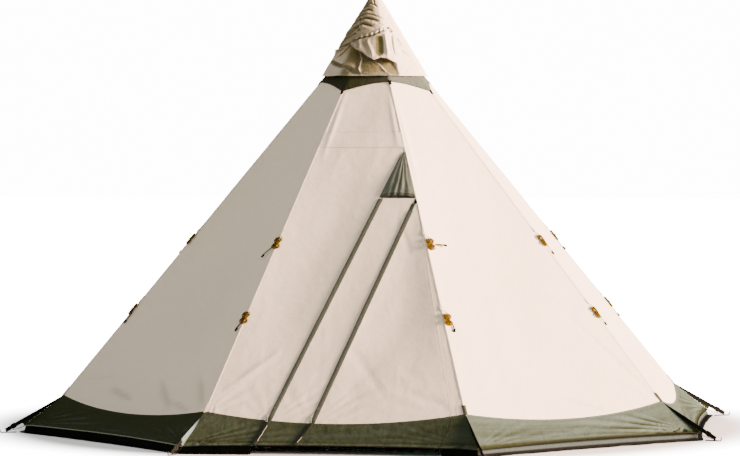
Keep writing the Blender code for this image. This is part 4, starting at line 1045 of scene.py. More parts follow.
@dataclass
class Relief:
    """What bends a flat wall: the sag, folds from the feet of its corners, puckers at its seams, billows."""

    fold_depth: float = 0.0045
    fold_reach: float = 0.26
    folds: int = 4
    seam_pucker: float = 0.0026
    edge_pucker: float = 0.0016
    billow: float = 0.008
    pulls: tuple[Pull, ...] = (
        Pull(0, (0.07, 0.44), (0.095, 0.78), 0.0045, 0.016), Pull(0, (0.93, 0.46), (0.925, 0.72), 0.004, 0.016),
        Pull(0, (0.82, 1.1), (0.88, 1.28), -0.004, 0.02), Pull(0, (0.05, 1.99), (0.22, 1.8), 0.005, 0.022),
        Pull(0, (0.55, 1.78), (0.7, 2.02), -0.004, 0.026), Pull(0, (0.8, 1.99), (0.96, 2.07), -0.005, 0.018),
        Pull(7, (0.93, 0.5), (0.9, 0.85), 0.0045, 0.02), Pull(7, (0.6, 1.97), (0.76, 2.1), -0.016, 0.026),
        Pull(7, (0.965, 2.07), (0.86, 1.93), -0.015, 0.024), Pull(7, (0.9, 2.1), (0.74, 2.06), -0.013, 0.018),
        Pull(7, (0.28, 2.03), (0.48, 2.075), -0.016, 0.024), Pull(7, (0.06, 2.0), (0.3, 1.97), -0.006, 0.018),
        Pull(1, (0.05, 0.5), (0.06, 0.95), 0.005, 0.02), Pull(1, (0.985, 2.07), (0.8, 1.62), -0.009, 0.012),
        Pull(1, (0.94, 2.09), (0.78, 1.92), -0.007, 0.01), Pull(1, (0.48, 2.03), (0.7, 2.115), -0.01, 0.014),
        Pull(2, (0.1, 2.04), (0.4, 1.88), 0.006, 0.02),
    )

    def edge(self, distance: float) -> float:
        """Fades the relief out where a seam holds the cloth."""
        return 1 - math.exp(-max(distance, 0.0) / 0.012)

    def corner_folds(self, dx: float, dy: float, seed: float) -> float:
        """Folds that spread from a pulled corner.

        Args:
            dx: distance into the panel from the corner.
            dy: distance up the panel from the corner.
            seed: sets this corner's own pattern.

        Returns:
            The height of the fold.
        """
        reach = math.hypot(dx, dy)
        angle = math.atan2(dy, max(dx, 1e-6))
        spread = math.sin(min(max(angle / 1.25, 0.0), 1.0) * math.pi)
        turns = self.folds * angle / 1.25 + 0.5 * ripple(reach * 4.0, seed, angle)
        strength = self.fold_depth * (0.65 + 0.5 * ripple(seed, angle * 2.0, 3.3))
        return strength * spread * math.cos(2 * math.pi * turns) * math.exp(-reach / self.fold_reach)

    def at(self, face: int, x: float, radius: float, share: float, left: float, right: float,
           foot: float, top: float, sag: float = FORM.wall_sag) -> float:
        """Height of the cloth off a face's plane.

        Args:
            face: the face.
            x: place across it.
            radius: level on it.
            share: 0 to 1 across the panel.
            left: the panel's left edge here, as x.
            right: its right edge here.
            foot: the seam's radius below.
            top: the radius where the panel begins.
            sag: how far it sags inward.

        Returns:
            The height, outward.
        """
        fall = min(max((radius - top) / (foot - top), 0.0), 1.0)
        height = -sag * math.sin(math.pi * share) * math.sin(math.pi * fall) ** 2
        up = (foot - radius) * FORM.slope
        down = (radius - top) * FORM.slope
        near_left, near_right = x - left, right - x
        near = min(near_left, near_right)
        hold = self.edge(near) * self.edge(up) * self.edge(down)
        extra = self.corner_folds(near_left, up, face * 3.7 + 0.4)
        extra += self.corner_folds(near_right, up, face * 5.1 + 7.9)
        extra += self.seam_pucker * math.exp(-up / 0.06) * ripple(x * 15.0, face * 7.3, up * 5)
        extra += self.edge_pucker * math.exp(-near / 0.04) * ripple(radius * 17.0, face * 3.1 + share * 2)
        wide = min(1.0, near / 0.16) * min(1.0, up / 0.2)
        extra += self.billow * wide * ripple(x * 1.7 + face * 9.1, radius * 1.9)
        extra += 0.35 * self.billow * wide * ripple(x * 5.3 + radius * 2.0, radius * 3.1, face * 4.7)
        extra += self.pulled(face, x, radius)
        return height + extra * hold

    def pulled(self, face: int, x: float, radius: float) -> float:
        """Height of the single folds at a place."""
        return sum(pull.at(x, radius) for pull in self.pulls if pull.face == face)


@dataclass
class Walls:
    """The eight canvas walls, the door's jamb, the header band and the tapes over the corner seams."""

    finishes: Finishes
    columns: int = 64
    rows: int = 110
    relief: Relief = field(default_factory=Relief)
    band_top: float = 0.648
    band_foot: float = 0.732
    band_cloth: float = 0.0022
    band_shade: float = 0.6
    jamb_top: float = 1.012
    tape_half: float = 0.011
    tape_lift: float = 0.002
    tape_ridge: float = 0.0004
    tape_from_hinge: float = 0.004

    def panel(self, name: str, face: int, left: Line, right: Line, top: float, columns: int,
              rows: int, sag: float, band: bool = False) -> bpy.types.Object:
        """A panel of wall canvas between two lines, down to the seam.

        Args:
            name: the piece's name.
            face: its face.
            left: its left edge.
            right: its right edge.
            top: the radius at which it begins.
            columns: steps across.
            rows: steps down.
            sag: how far it sags.
            band: whether the header band is sewn on it.

        Returns:
            The piece.
        """
        levels: list[float] = []
        feet = [FORM.meet_seam(between(left, right, i / columns)) for i in range(columns + 1)]
        edges = (self.band_top, self.band_foot)
        marks = [self.band_top + step for step in (-0.004, 0.0, 0.0008, 0.004)]
        marks += [self.band_foot + step for step in (-0.004, -0.0008, 0.0, 0.004)]
        shares = even(rows)
        if band:
            step = 1 / rows
            for mark in marks:
                share = (mark - top) / (feet[0] - top)
                shares = [s for s in shares if abs(s - share) > 0.3 * step or s in levels]
                levels.append(share)
            shares = sorted(shares + levels)
            rows = len(shares) - 1

        def knot(i: int, j: int) -> Knot:
            """The cloth's point at a column and a row."""
            share = i / columns
            line = between(left, right, share)
            radius = blend(top, feet[i], shares[j])
            if band and shares[j] in levels:
                radius = blend(top, feet[0], shares[j])
            x = line(radius)
            lift = self.relief.at(face, x, radius, share, left(radius), right(radius), feet[i], top, sag)
            sewn = min(x - left(radius), right(radius) - x, (feet[i] - radius) * FORM.slope)
            # painted shade in the grooves of the single folds
            worn = 0.8 * smooth_step(0.0, 0.014, -self.relief.pulled(face, x, radius))
            if band:
                if self.band_top + 0.0004 < radius < self.band_foot - 0.0004:
                    lift += self.band_cloth
                near = min(abs(radius - edge) for edge in edges)
                sewn = min(sewn, near * FORM.slope + 0.0005)
                # painted shade along the band's edges, with the dark line of its stitching
                worn = max(worn, self.band_shade) if near < 0.0012 else worn
            return Knot(FORM.point(face, x, radius, lift), x, -radius * FORM.slope, sewn, worn)

        return lay_cloth(name, columns, rows, knot, FORM.cloth)

    def tape(self, corner: int) -> bpy.types.Object:
        """The tape sewn over the seam of a corner, from the collar to the skirt."""
        offsets = [share * self.tape_half for share in (-1.0, -0.75, -0.4, 0.0, 0.4, 0.75, 1.0)]
        top, foot = FORM.wall_top, FORM.seam_radius
        rows = 130

        def knot(i: int, j: int) -> Knot:
            """The cloth's point at a column and a row."""
            radius = blend(top, foot, j / rows)
            offset = offsets[i]
            if corner == 0 and radius > FORM.door_top:
                room = FORM.hinge(radius) - FORM.sin_half * radius + self.tape_from_hinge
                offset = max(offset, min(room, -0.0004))
            worn = 0.0004 * ripple(radius * 30.0, corner * 3.3)
            side = self.tape_lift - 0.9 * (abs(offset) / self.tape_half) ** 6 * 0.001 + worn
            place = FORM.beside_corner(corner, offset, radius, side, self.tape_ridge)
            return Knot(place, offset, -radius * FORM.slope, self.tape_half - abs(offset))

        return lay_cloth(f"corner_tape_{CORNERS[corner]}", len(offsets) - 1, rows, knot, 0.0012)

    def build(self) -> None:
        """Builds and dresses the walls."""
        canvas = self.finishes.cloths["canvas"]
        length = (FORM.seam_radius - FORM.wall_top) * FORM.slope
        foot_width = 2 * FORM.sin_half * FORM.seam_radius
        area = length * FORM.sin_half * (FORM.seam_radius + FORM.wall_top)
        for face, place in enumerate(FACES[1:], start=1):
            wall = self.panel(f"canvas_{place}", face, FORM.left_corner, shifted(FORM.right_corner, FORM.gap),
                              FORM.wall_top, self.columns, self.rows, FORM.wall_sag)
            dress(wall, canvas, Place.TENT, f"wall_{place}", slot="canvas")
            declare(wall, foot_width, length, "stretched", area, [f"skirt_{place}"])
        self.build_front(canvas, length)
        right = shifted(FORM.right_corner, FORM.gap)
        jamb = self.panel("canvas_door_jamb", 0, FORM.hinge, right, self.jamb_top, 8, 60, 0.0)
        dress(jamb, canvas, Place.TENT, "wall_front_right", slot="canvas")
        jamb_length = (FORM.seam_radius - self.jamb_top) * FORM.slope
        declare(jamb, FORM.hinge_margin, jamb_length, "stretched", 0.52 * FORM.hinge_margin * jamb_length,
                ["wall_front_right"])
        for corner in range(FORM.sides):
            strip = self.tape(corner)
            dress(strip, canvas, Place.TENT, slot="canvas")
            declare(strip, 2 * self.tape_half, length, "stretched", None, [f"wall_{FACES[corner]}"])

    def build_front(self, canvas: bpy.types.Material, length: float) -> None:
        """The front panel: across the whole face above the doorway, and up to the left zip below its top."""
        def right(radius: float) -> float:
            """The panel's right edge."""
            return min(FORM.sin_half * radius, FORM.left_zip(radius))

        front = self.panel("canvas_front", 0, FORM.left_corner, right, FORM.wall_top, self.columns, 120,
                           0.7 * FORM.wall_sag, band=True)
        dress(front, canvas, Place.TENT, "wall_front", slot="canvas")
        half = FORM.sin_half * FORM.seam_radius
        upper = (FORM.zip_top - FORM.wall_top) * FORM.slope * FORM.sin_half * (FORM.zip_top + FORM.wall_top)
        lower = (FORM.seam_radius - FORM.zip_top) * FORM.slope
        lower *= 0.5 * (2 * FORM.sin_half * FORM.zip_top + FORM.left_zip_foot)
        declare(front, half, length, "stretched", min(upper + lower, half * length), ["skirt_front"])


@dataclass
class Skirts:
    """The olive skirts under the walls, the piping on their hem and the flap down to the ground."""

    finishes: Finishes
    columns: int = 130
    rows: int = 24
    lap: float = 0.012
    lift: float = 0.0018
    fold: float = 0.0034
    corner_fold: float = 0.015
    fan: float = 6.2
    # painted sheen on the folds' ridges, by face: strongest on the sunlit faces 1 and 2
    painted_sheen: dict[int, float] = field(default_factory=lambda: {0: 0.3, 1: 0.95, 2: 0.95, 7: 0.03})
    strong: dict[tuple[int, int], float] = field(default_factory=lambda: {
        (1, 1): 1.15, (1, -1): 0.2, (0, 1): 0.45, (0, -1): 0.5, (7, 1): 0.45, (7, -1): 0.5})
    piping: float = 0.0032
    flap_width: float = 0.098

    @property
    def left_hem(self) -> float:
        """Where the left zip reaches the hem, as a share."""
        return FORM.left_zip_hem / FORM.hem_half - 1

    @property
    def right_hem(self) -> float:
        """Where the right zip reaches the hem, as a share."""
        return FORM.right_zip_hem / FORM.hem_half - 1

    @property
    def cut_hem(self) -> float:
        """Where the door's cut reaches the hem, as a share."""
        return 1 - FORM.cut_margin / FORM.hem_half

    def relief(self, face: float, share: float, drop: float) -> float:
        """Height of the skirt's folds at a place.

        Args:
            face: the face.
            share: -1 to 1 between its corners.
            drop: 0 at the seam to 1 at the hem.

        Returns:
            The height, outward.
        """
        x = share * FORM.hem_half
        width = FORM.hem_half
        edge = width * (1 - abs(share))
        hold = 1 - math.exp(-edge / 0.015)
        seam_hold = 1 - math.exp(-drop * 0.3 / 0.02)
        level = self.fold * ripple(x * 1.6, drop * 3.2 + 0.5 * x, face * 3.7)
        level += 0.5 * self.fold * ripple(x * 2.2, drop * 11.0 + 0.8 * x, face * 5.9)
        level += 0.0014 * ripple(x * 14.0, drop * 7.0, face * 1.7) * (0.3 + drop)
        radial = 0.0
        for side in (-1, 1):
            dx = width * (1 - side * share)
            dy = (1 - drop) * FORM.skirt_fall
            reach = math.hypot(dx, dy)
            angle = math.atan2(dy, dx)
            turns = self.fan * max(angle, 1e-4) ** 0.66 + 0.12 * ripple(reach * 3, face * 2.3 + side)
            size = self.strong.get((face % FORM.sides, side), 0.55) * self.corner_fold
            size *= min(reach / 0.1, 1.0) * math.exp(-reach / 0.34) * (1 - smooth_step(0.5, 0.9, angle))
            radial += size * math.cos(2 * math.pi * turns)
        hem_hold = 1 - 0.55 * smooth_step(0.75, 1.0, drop)
        return (level * hem_hold + radial) * hold * seam_hold

    def panel(self, name: str, face: int, tops: Sequence[float], feet: Sequence[float]) -> bpy.types.Object:
        """A panel of skirt from over the wall's foot to the hem.

        Args:
            name: the piece's name.
            face: its face.
            tops: each column's share at the seam.
            feet: each column's share at the hem.

        Returns:
            The piece.
        """
        lead = 3
        rows = self.rows + lead

        def knot(i: int, j: int) -> Knot:
            """The cloth's point at a column and a row."""
            if j < lead:
                share = tops[i]
                radius = FORM.seam(share) - self.lap * (1 - j / lead) / FORM.slope
                x = share * FORM.sin_half * radius
                side = self.lift + (0.0006 if j else 0.0)
                if abs(share) > 0.9999:
                    place = FORM.corner(face if share > 0 else face - 1, radius, side)
                else:
                    place = FORM.point(face, x, radius, side)
                # the lap under the wall takes the face's full painted sheen
                return Knot(place, x, -radius * FORM.slope, self.lap * j / lead, self.painted_sheen.get(face, 0.3))
            drop = (j - lead) / self.rows
            share = blend(tops[i], feet[i], drop)
            relief = self.relief(face, share, drop)
            lift = blend(self.lift + 0.0006, 0.0, smooth_step(0.0, 0.25, drop)) + relief
            place = FORM.skirt(face, share, drop) + FORM.skirt_normal(face, share, drop) * lift
            hem = (1 - drop) * FORM.skirt_fall
            u = share * blend(FORM.sin_half * FORM.seam(share), FORM.hem_half, drop)
            fallen = drop * FORM.skirt_fall
            run = FORM.seam(share) * FORM.slope + fallen
            # Painted light and shade: sheen on the folds' ridges, stopping short of the hem on the sunlit
            # faces; on the front a painted light band along the hem under a painted shade line; on the left
            # painted light streaks on the highest folds.
            dust_and_painted_light = self.painted_sheen.get(face, 0.3) * smooth_step(-0.0075, 0.0045, relief)
            if face in (1, 2):
                dust_and_painted_light *= 1 - smooth_step(0.83, 0.94, drop)
            elif face == 0:
                dust_and_painted_light += 0.26 * smooth_step(0.87, 0.95, drop) - 0.22 * math.exp(-((drop - 0.83) / 0.03) ** 2)
                dust_and_painted_light = max(dust_and_painted_light, 0.0)
            elif face == 7:
                dust_and_painted_light += 0.2 * smooth_step(0.0012, 0.0032, relief) * smooth_step(0.3, 0.5, drop)
            return Knot(place, u, -run, min(hem + 0.004, fallen + self.lap), dust_and_painted_light)

        return lay_cloth(name, len(tops) - 1, rows, knot, 0.0022)

    def declare_cut(self, skirt: bpy.types.Object, width: float, on: str, share: float = 0.76) -> None:
        """Hands a skirt panel's cut, and the share of that rectangle that it covers, to declare, which records
        none of it.
        """
        declare(skirt, width, FORM.skirt_cut, "hung", share * width * FORM.skirt_cut, [on])

    def build(self) -> None:
        """Builds and dresses the skirts, the piping and the ground flap."""
        olive = self.finishes.cloths["skirt"]
        spread = [blend(-1.0, 1.0, t) for t in even(self.columns)]
        width = 2 * FORM.hem_half
        for face, place in enumerate(FACES[1:], start=1):
            skirt = self.panel(f"skirt_cloth_{place}", face, spread, spread)
            dress(skirt, olive, Place.TENT, f"skirt_{place}", slot="skirt_cloth")
            self.declare_cut(skirt, width, f"wall_{place}")
        lines = [between(FORM.left_corner, FORM.left_zip, t) for t in even(28)]
        tops = [FORM.seam_share(line) for line in lines]
        front = self.panel("skirt_cloth_front", 0, tops, [blend(-1.0, self.left_hem, t) for t in even(28)])
        dress(front, olive, Place.TENT, "skirt_front", slot="skirt_cloth")
        self.declare_cut(front, FORM.left_zip_hem, "wall_front")
        start, end = FORM.seam_share(FORM.hinge), self.cut_hem
        jamb = self.panel("skirt_cloth_jamb", 0, [blend(start, 1.0, t) for t in even(10)],
                          [blend(end, 1.0, t) for t in even(10)])
        dress(jamb, olive, Place.TENT, "skirt_front_right", slot="skirt_cloth")
        self.declare_cut(jamb, FORM.cut_margin, "wall_front_right", 0.75)
        self.build_piping()
        self.build_flap()

    def hem_line(self, stations: Iterable[tuple[int, float]]) -> list[Vector]:
        """Points of the hem's edge at faces and shares."""
        line = []
        for face, share in stations:
            out = FORM.bearing(face)
            line.append(FORM.skirt(face, share, 1.0) + FORM.skirt_normal(face, share, 1.0)
                        * self.relief(face, share, 1.0) + out * 0.0006 - UP * 0.001)
        return line

    def build_piping(self) -> None:
        """The piping sewn along the hem, fixed and on the door; the left side's is pale, as a painted
        highlight.
        """
        right = [(0, blend(self.cut_hem, 0.999, t)) for t in even(10)]
        for face in range(1, 4):
            right += [(face, blend(-0.999, 0.999, t)) for t in even(48)]
        left = [(face, blend(-0.999, 0.999, t)) for face in range(4, FORM.sides) for t in even(48)]
        front = [(FORM.sides, blend(-0.999, self.left_hem, t)) for t in even(20)]
        door = [(0, blend(self.left_hem + 0.004, self.cut_hem - 0.006, t)) for t in even(36)]
        for name, line, finish, body in (("hem_piping_right", right, self.finishes.piping, Place.TENT),
                                         ("hem_piping_left", left, self.finishes.pale_and_painted_highlight, Place.TENT),
                                         ("hem_piping_front", front, self.finishes.piping, Place.TENT),
                                         ("hem_piping_door", door, self.finishes.piping, Place.DOOR)):
            pipe = tube(name, self.hem_line(line), self.piping, finish, 1)
            dress(pipe, finish, body, slot="webbing")

    def build_flap(self) -> None:
        """The flap that hangs from the hem's inner side, with a waved lip on the ground."""
        stations = [(0, blend(self.cut_hem + 0.02 / FORM.hem_half, 1.0, t)) for t in even(12)]
        for face in range(1, FORM.sides):
            stations += [(face, blend(-1.0, 1.0, t)) for t in even(46)[1:]]
        end = self.left_hem - 0.02 / FORM.hem_half
        stations += [(FORM.sides, blend(-1.0, end, t)) for t in even(22)[1:]]
        falls = [0.0, 0.12, 0.24, 0.34, 0.44, 0.54, 0.64, 0.74, 0.86, 1.0]
        lips = [0.006, 0.013, 0.021, 0.03]
        rows = len(falls) + len(lips) - 1

        def knot(i: int, j: int) -> Knot:
            """The cloth's point at a column and a row."""
            face, share = stations[i]
            corner = abs(share) > 0.9999
            out = FORM.bearing(face + 0.5 * math.copysign(1, share)) if corner else FORM.bearing(face)
            reach = out.dot(FORM.bearing(face))
            hem = FORM.skirt(face, share, 1.0)
            hem += FORM.skirt(face, share, 0.9) * 0.3 - hem * 0.3
            top = hem - out * (0.0042 / reach)
            x = share * FORM.hem_half + face * 2 * FORM.hem_half
            wave = ripple(x * 5.0, 3.0) + 0.5 * ripple(x * 13.0, 8.0)
            knee = Vector((top.x, top.y, 0.003)) + out * ((0.013 + 0.003 * wave) / reach)
            if j < len(falls):
                place = top.lerp(knee, falls[j])
                place += out * (0.006 * wave * math.sin(math.pi * falls[j]) * falls[j] / reach)
                # painted light: a lit band down the flap on the sunlit faces 1 and 2
                lit = 1.0 if face in (1, 2) else 0.0
                band = smooth_step(0.2, 0.4, falls[j]) - smooth_step(0.6, 0.76, falls[j])
                return Knot(place, x, -falls[j] * 0.06, 1.0, 0.62 * lit * band)
            lip = lips[j - len(falls)]
            raised = max(0.0, ripple(x * 7.0, 21.0) + 0.1) * 0.01 * (lip / lips[-1]) ** 1.5
            place = knee + out * (lip * (1 + 0.1 * wave) / reach)
            place.z = 0.003 + raised
            # painted light, growing towards the lip's edge
            return Knot(place, x, -0.06 - lip, lips[-1] - lip, 0.12 * lip / lips[-1])

        flap = lay_cloth("ground_flap_cloth", len(stations) - 1, rows, knot, 0.0022)
        dress(flap, self.finishes.cloths["flap"], Place.TENT, "ground_flap", slot="skirt_cloth")
        length = FORM.sides * 2 * FORM.hem_half - FORM.cut_margin
        declare(flap, self.flap_width, length, "hung", None, ["skirt_back"])


@dataclass
class Door:
    """The door: canvas, strip, skirt, storm flaps, zip tapes and coils, and the hood and net above it."""

    finishes: Finishes
    skirts: Skirts
    walls: Walls
    flap_free: float = -0.012
    flap_fold: float = 0.009
    flap_sewn: float = 0.018
    flap_stand: float = 0.0042
    strip_top: float = 1.002
    strip_width: float = 0.27
    main_width: float = 0.827
    skirt_width: float = 1.05
    zip_start: float = 1.006
    flap_starts: tuple[float, float] = (1.006, 1.07)
    tape_starts: tuple[float, float] = (1.006, 1.03)
    bindings: tuple[tuple[float, float, float], ...] = ((0.872, 0.975, 0.01), (0.94, 0.984, 0.004))
    zip_length: float = 2.05
    slider_at: float = 2.075
    coil: float = 0.0022
    net_width: float = 0.245
    hood_width: float = 0.29
    hood_gathers: int = 5
    hood_bulge: float = 0.02

    def build(self) -> None:
        """Builds and dresses the doorway's pieces."""
        canvas = self.finishes.cloths["canvas"]
        strip = self.walls.panel("door_strip_canvas", 0, FORM.left_zip, FORM.right_zip, self.strip_top,
                                 20, 90, 0.003)
        dress(strip, canvas, Place.DOOR, "door_strip", slot="canvas")
        length = (FORM.seam_radius + 0.04 - self.strip_top) * FORM.slope
        area = 0.96 * self.strip_width * length
        declare(strip, self.strip_width, length, "stretched", area, ["door_canvas"])
        main_panel = self.walls.panel("door_main_canvas", 0, FORM.right_zip, shifted(FORM.hinge, -0.0009),
                                      FORM.canvas_top, 44, 90, FORM.wall_sag)
        dress(main_panel, canvas, Place.DOOR, "door_canvas", slot="canvas")
        area = 0.51 * self.main_width * length
        declare(main_panel, self.main_width, length, "stretched", area, ["door_strip"])
        self.build_skirt()
        for side, line, hem in (("left", FORM.left_zip, self.skirts.left_hem),
                                ("right", FORM.right_zip, self.skirts.right_hem)):
            self.build_flap(side, line, hem)
            self.build_zip(side, line, hem)
            self.build_puller(side, line, hem)
        self.build_net()
        self.build_hood()

    def build_skirt(self) -> None:
        """The door's own piece of skirt."""
        strip_lines = [between(FORM.left_zip, FORM.right_zip, t) for t in even(16)]
        door_lines = [between(FORM.right_zip, shifted(FORM.hinge, -0.003), t) for t in even(34)][1:]
        tops = [FORM.seam_share(line) for line in strip_lines + door_lines]
        hem_end = self.skirts.cut_hem - 0.003 / FORM.hem_half
        feet = [blend(self.skirts.left_hem, self.skirts.right_hem, t) for t in even(16)]
        feet += [blend(self.skirts.right_hem, hem_end, t) for t in even(34)][1:]
        skirt = self.skirts.panel("skirt_cloth_door", 0, tops, feet)
        dress(skirt, self.finishes.cloths["skirt"], Place.DOOR, "door_skirt", slot="skirt_cloth")
        self.skirts.declare_cut(skirt, self.skirt_width, "door_canvas")

    def along_zip(self, line: Line, hem: float, offset: float, share: float, start: float,
                  lift: float) -> tuple[Vector, float]:
        """A point beside a zip, down the wall and then the skirt.

        Args:
            line: the zip's line.
            hem: where it reaches the hem, as a share.
            offset: distance from the line, across the face.
            share: 0 at the start to 1 at the hem.
            start: radius at which the strip starts.
            lift: height above the cloth.

        Returns:
            The point, and its distance along the strip.
        """
        edge = shifted(line, offset)
        foot = FORM.meet_seam(edge)
        wall_length = (foot - start) * FORM.slope
        run = share * (wall_length + FORM.skirt_fall)
        if run <= wall_length:
            radius = start + run / FORM.slope
            return FORM.point(0, edge(radius), radius, lift), run
        drop = (run - wall_length) / FORM.skirt_fall
        where = blend(FORM.seam_share(edge), hem + offset / FORM.hem_half, drop)
        high = lift + 0.0024 + max(0.0, self.skirts.relief(0, where, drop)) * 0.9
        return FORM.skirt(0, where, drop) + FORM.skirt_normal(0, where, drop) * high, run

    def build_flap(self, side: str, line: Line, hem: float) -> None:
        """The storm flap over a zip: sewn on its right side, standing off the zip, free on its left.

        Args:
            side: left or right.
            line: the zip's line.
            hem: where it reaches the hem, as a share.
        """
        rows, columns = 150, 12
        start = self.flap_starts[side == "right"]
        seed = 5.0 if side == "left" else 9.0

        def knot(i: int, j: int) -> Knot:
            """The cloth's point at a column and a row."""
            offset = blend(self.flap_free, self.flap_sewn, i / columns)
            loose = 1 - smooth_step(self.flap_fold - 0.002, self.flap_sewn - 0.001, offset)
            ride = j / rows
            lift = 0.0018 + self.flap_stand * loose
            lift += 0.0008 * loose * ripple(ride * 34.0, seed)
            lift += 0.0006 * loose * ripple(ride * 9.0, offset * 60.0)
            lift -= 0.0016 * smooth_step(self.flap_free + 0.006, self.flap_free, offset)
            sway = 0.0012 * ripple(ride * 11.0, seed + 2.0) * (1 - i / columns)
            place, run = self.along_zip(line, hem, offset + sway, ride, start, lift)
            below = smooth_step(-0.06, 0.0, run - (FORM.meet_seam(line) - start) * FORM.slope)
            mottle = 0.5 + 0.9 * ripple(run * 55.0, offset * 90.0, seed)
            # painted shade over the sewn half past the fold, and nearly full painted shade below the seam
            dark = 0.55 * smooth_step(self.flap_fold - 0.004, self.flap_fold + 0.002, offset)
            dark = blend(dark, min(max(mottle, 0.9), 1.0), below)
            return Knot(place, offset, -run, min(self.flap_sewn - offset, offset - self.flap_free), dark)

        flap = lay_cloth(f"storm_flap_{side}", columns, rows, knot, 0.0018)
        dress(flap, self.finishes.cloths["trim"], Place.DOOR, f"zip_flap_{side}", slot="trim_cloth")
        declare(flap, self.flap_sewn - self.flap_free, self.zip_length, "hung", None, ["door_strip"])
        low, high, aside = self.bindings[side == "right"]
        edge = []
        for k in range(30):
            ride = blend(low, high, k / 29)
            lift = 0.0062 + 0.001 * ripple(k * 0.9, seed)
            offset = aside + 0.003 * ripple(k * 0.3, seed)
            edge.append(self.along_zip(line, hem, offset, ride, start, lift)[0])
        binding = tube(f"flap_binding_{side}", edge, 0.0015, self.finishes.pale_and_painted_highlight, 1)
        dress(binding, self.finishes.pale_and_painted_highlight, Place.DOOR, slot="webbing")

    def build_zip(self, side: str, line: Line, hem: float) -> None:
        """A zip's two tapes and its coil.

        Args:
            side: left or right.
            line: the zip's line.
            hem: where it reaches the hem, as a share.
        """
        rows = 120
        top = self.tape_starts[side == "right"]
        for half, low, high in (("outer", -0.0125, -0.0012), ("inner", 0.0012, 0.0125)):
            def knot(i: int, j: int, low: float = low, high: float = high) -> Knot:
                """The cloth's point at a column and a row."""
                offset = blend(low, high, i / 2)
                place, run = self.along_zip(line, hem, offset, j / rows, top, 0.0014)
                return Knot(place, offset, -run, 1.0)

            tape = lay_cloth(f"zip_tape_{side}_{half}", 2, rows, knot, 0.0008)
            body = Place.TENT if (side, half) == ("left", "outer") else Place.DOOR
            dress(tape, self.finishes.cloths["trim"], body, slot="trim_cloth")
            declare(tape, 0.0113, self.zip_length, "stretched", None, ["door_strip"])
        points = [self.along_zip(line, hem, 0.0, share, self.zip_start, 0.0012)[0] for share in even(200)]
        coil = tube(f"zip_coil_{side}", points, self.coil, self.finishes.plastic, 1)
        dress(coil, self.finishes.plastic, Place.DOOR, slot="black_plastic")

    def build_puller(self, side: str, line: Line, hem: float) -> None:
        """The stiff loop on a slider's pull, out under the storm flap's free edge and back over it.

        Args:
            side: left or right.
            line: the zip's line.
            hem: where it reaches the hem, as a share.
        """
        start = self.zip_start
        loop = ((0.03, -0.001, 0.0022), (0.038, -0.009, 0.003), (0.046, -0.016, 0.005), (0.062, -0.021, 0.0052),
                (0.086, -0.02, 0.005), (0.1, -0.015, 0.0072), (0.108, -0.008, 0.0098), (0.1, -0.003, 0.01),
                (0.088, -0.008, 0.01), (0.07, -0.014, 0.007), (0.048, -0.0105, 0.003), (0.03, 0.002, 0.0022))
        points = []
        for extra, offset, lift in loop:
            total = (FORM.meet_seam(shifted(line, offset)) - start) * FORM.slope + FORM.skirt_fall
            share = ((self.slider_at - start) * FORM.slope + extra) / total
            points.append(self.along_zip(line, hem, offset, share, start, lift)[0])
        puller = tube(f"zip_puller_{side}", fair(points, 5), 0.0018, self.finishes.pale_and_painted_highlight, 2)
        body = Place.LEFT_SLIDER if side == "left" else Place.RIGHT_SLIDER
        dress(puller, self.finishes.pale_and_painted_highlight, body, slot="webbing")

    def build_net(self) -> None:
        """The net triangle behind the hood."""
        top, foot, rows, columns = 0.762, 1.0, 24, 10

        def knot(i: int, j: int) -> Knot:
            """The cloth's point at a column and a row."""
            radius = blend(top, foot, j / rows)
            x = between(FORM.left_zip, FORM.right_corner, i / columns)(radius)
            near = min(x - FORM.left_zip(radius), FORM.right_corner(radius) - x)
            bow = 0.004 * (1 - math.exp(-near / 0.03)) * math.sin(math.pi * j / rows)
            return Knot(FORM.point(0, x, radius, -bow), x, -radius * FORM.slope, 1.0)

        net = lay_cloth("door_net_cloth", columns, rows, knot, 0.0008)
        dress(net, self.finishes.net, Place.TENT, "door_vent_net", slot="net")
        length = (foot - top) * FORM.slope
        declare(net, self.net_width, length, "stretched", 0.54 * self.net_width * length, ["wall_front"])

    def build_hood(self) -> None:
        """The gathered hood over the doorway, sewn on along its two sides, with a hemmed foot."""
        columns, rows = 72, 44
        top, foot_radius, arch, cloth = 0.756, 1.0, 0.006, 0.0018
        left = shifted(FORM.left_zip, -0.012)
        right = shifted(FORM.right_corner, -0.001)

        def knot(i: int, j: int) -> Knot:
            """The cloth's point at a column and a row."""
            share, fall = i / columns, j / rows
            foot = foot_radius - arch * math.sin(math.pi * share)
            radius = blend(top, foot, fall)
            x = between(left, right, share)(radius)
            x += 0.01 * (1 - share) * (1 - smooth_step(0.0, 0.12, fall))
            body = math.sin(math.pi * share)
            drawn = 1 - 0.55 * smooth_step(0.86, 1.0, fall)
            swell = math.sin(math.pi * min(0.62 * fall + 0.05, 0.5))
            bulge = self.hood_bulge * body ** 0.45 * swell * drawn * fall
            turns = self.hood_gathers * share + 0.35 * ripple(share * 3.0, fall * 2.0)
            fan = 0.0026 * math.cos(2 * math.pi * turns) * body * (0.1 + 0.9 * fall)
            pinch = 0.0034 * body * math.exp(-((fall - 0.9) / 0.02) ** 2)
            soft = 0.004 * body * ripple(share * 6.0, fall * 4.0, 2.0) * fall
            hem = 0.0012 * smooth_step(0.905, 0.915, fall)
            lift = 0.0003 + cloth + 0.0022 + bulge + fan - pinch + soft + hem * body
            near = min(x - left(radius), right(radius) - x)
            sewn = min(near, (foot - radius) * FORM.slope)
            # painted shade: a dark line just above the hemmed foot, and in the grooves between the gathers
            worn = 0.8 * smooth_step(0.945, 0.955, fall) + 0.45 * smooth_step(0.0, 0.0026, -fan)
            return Knot(FORM.point(0, x, radius, lift), x, -radius * FORM.slope, sewn, min(worn, 1.0))

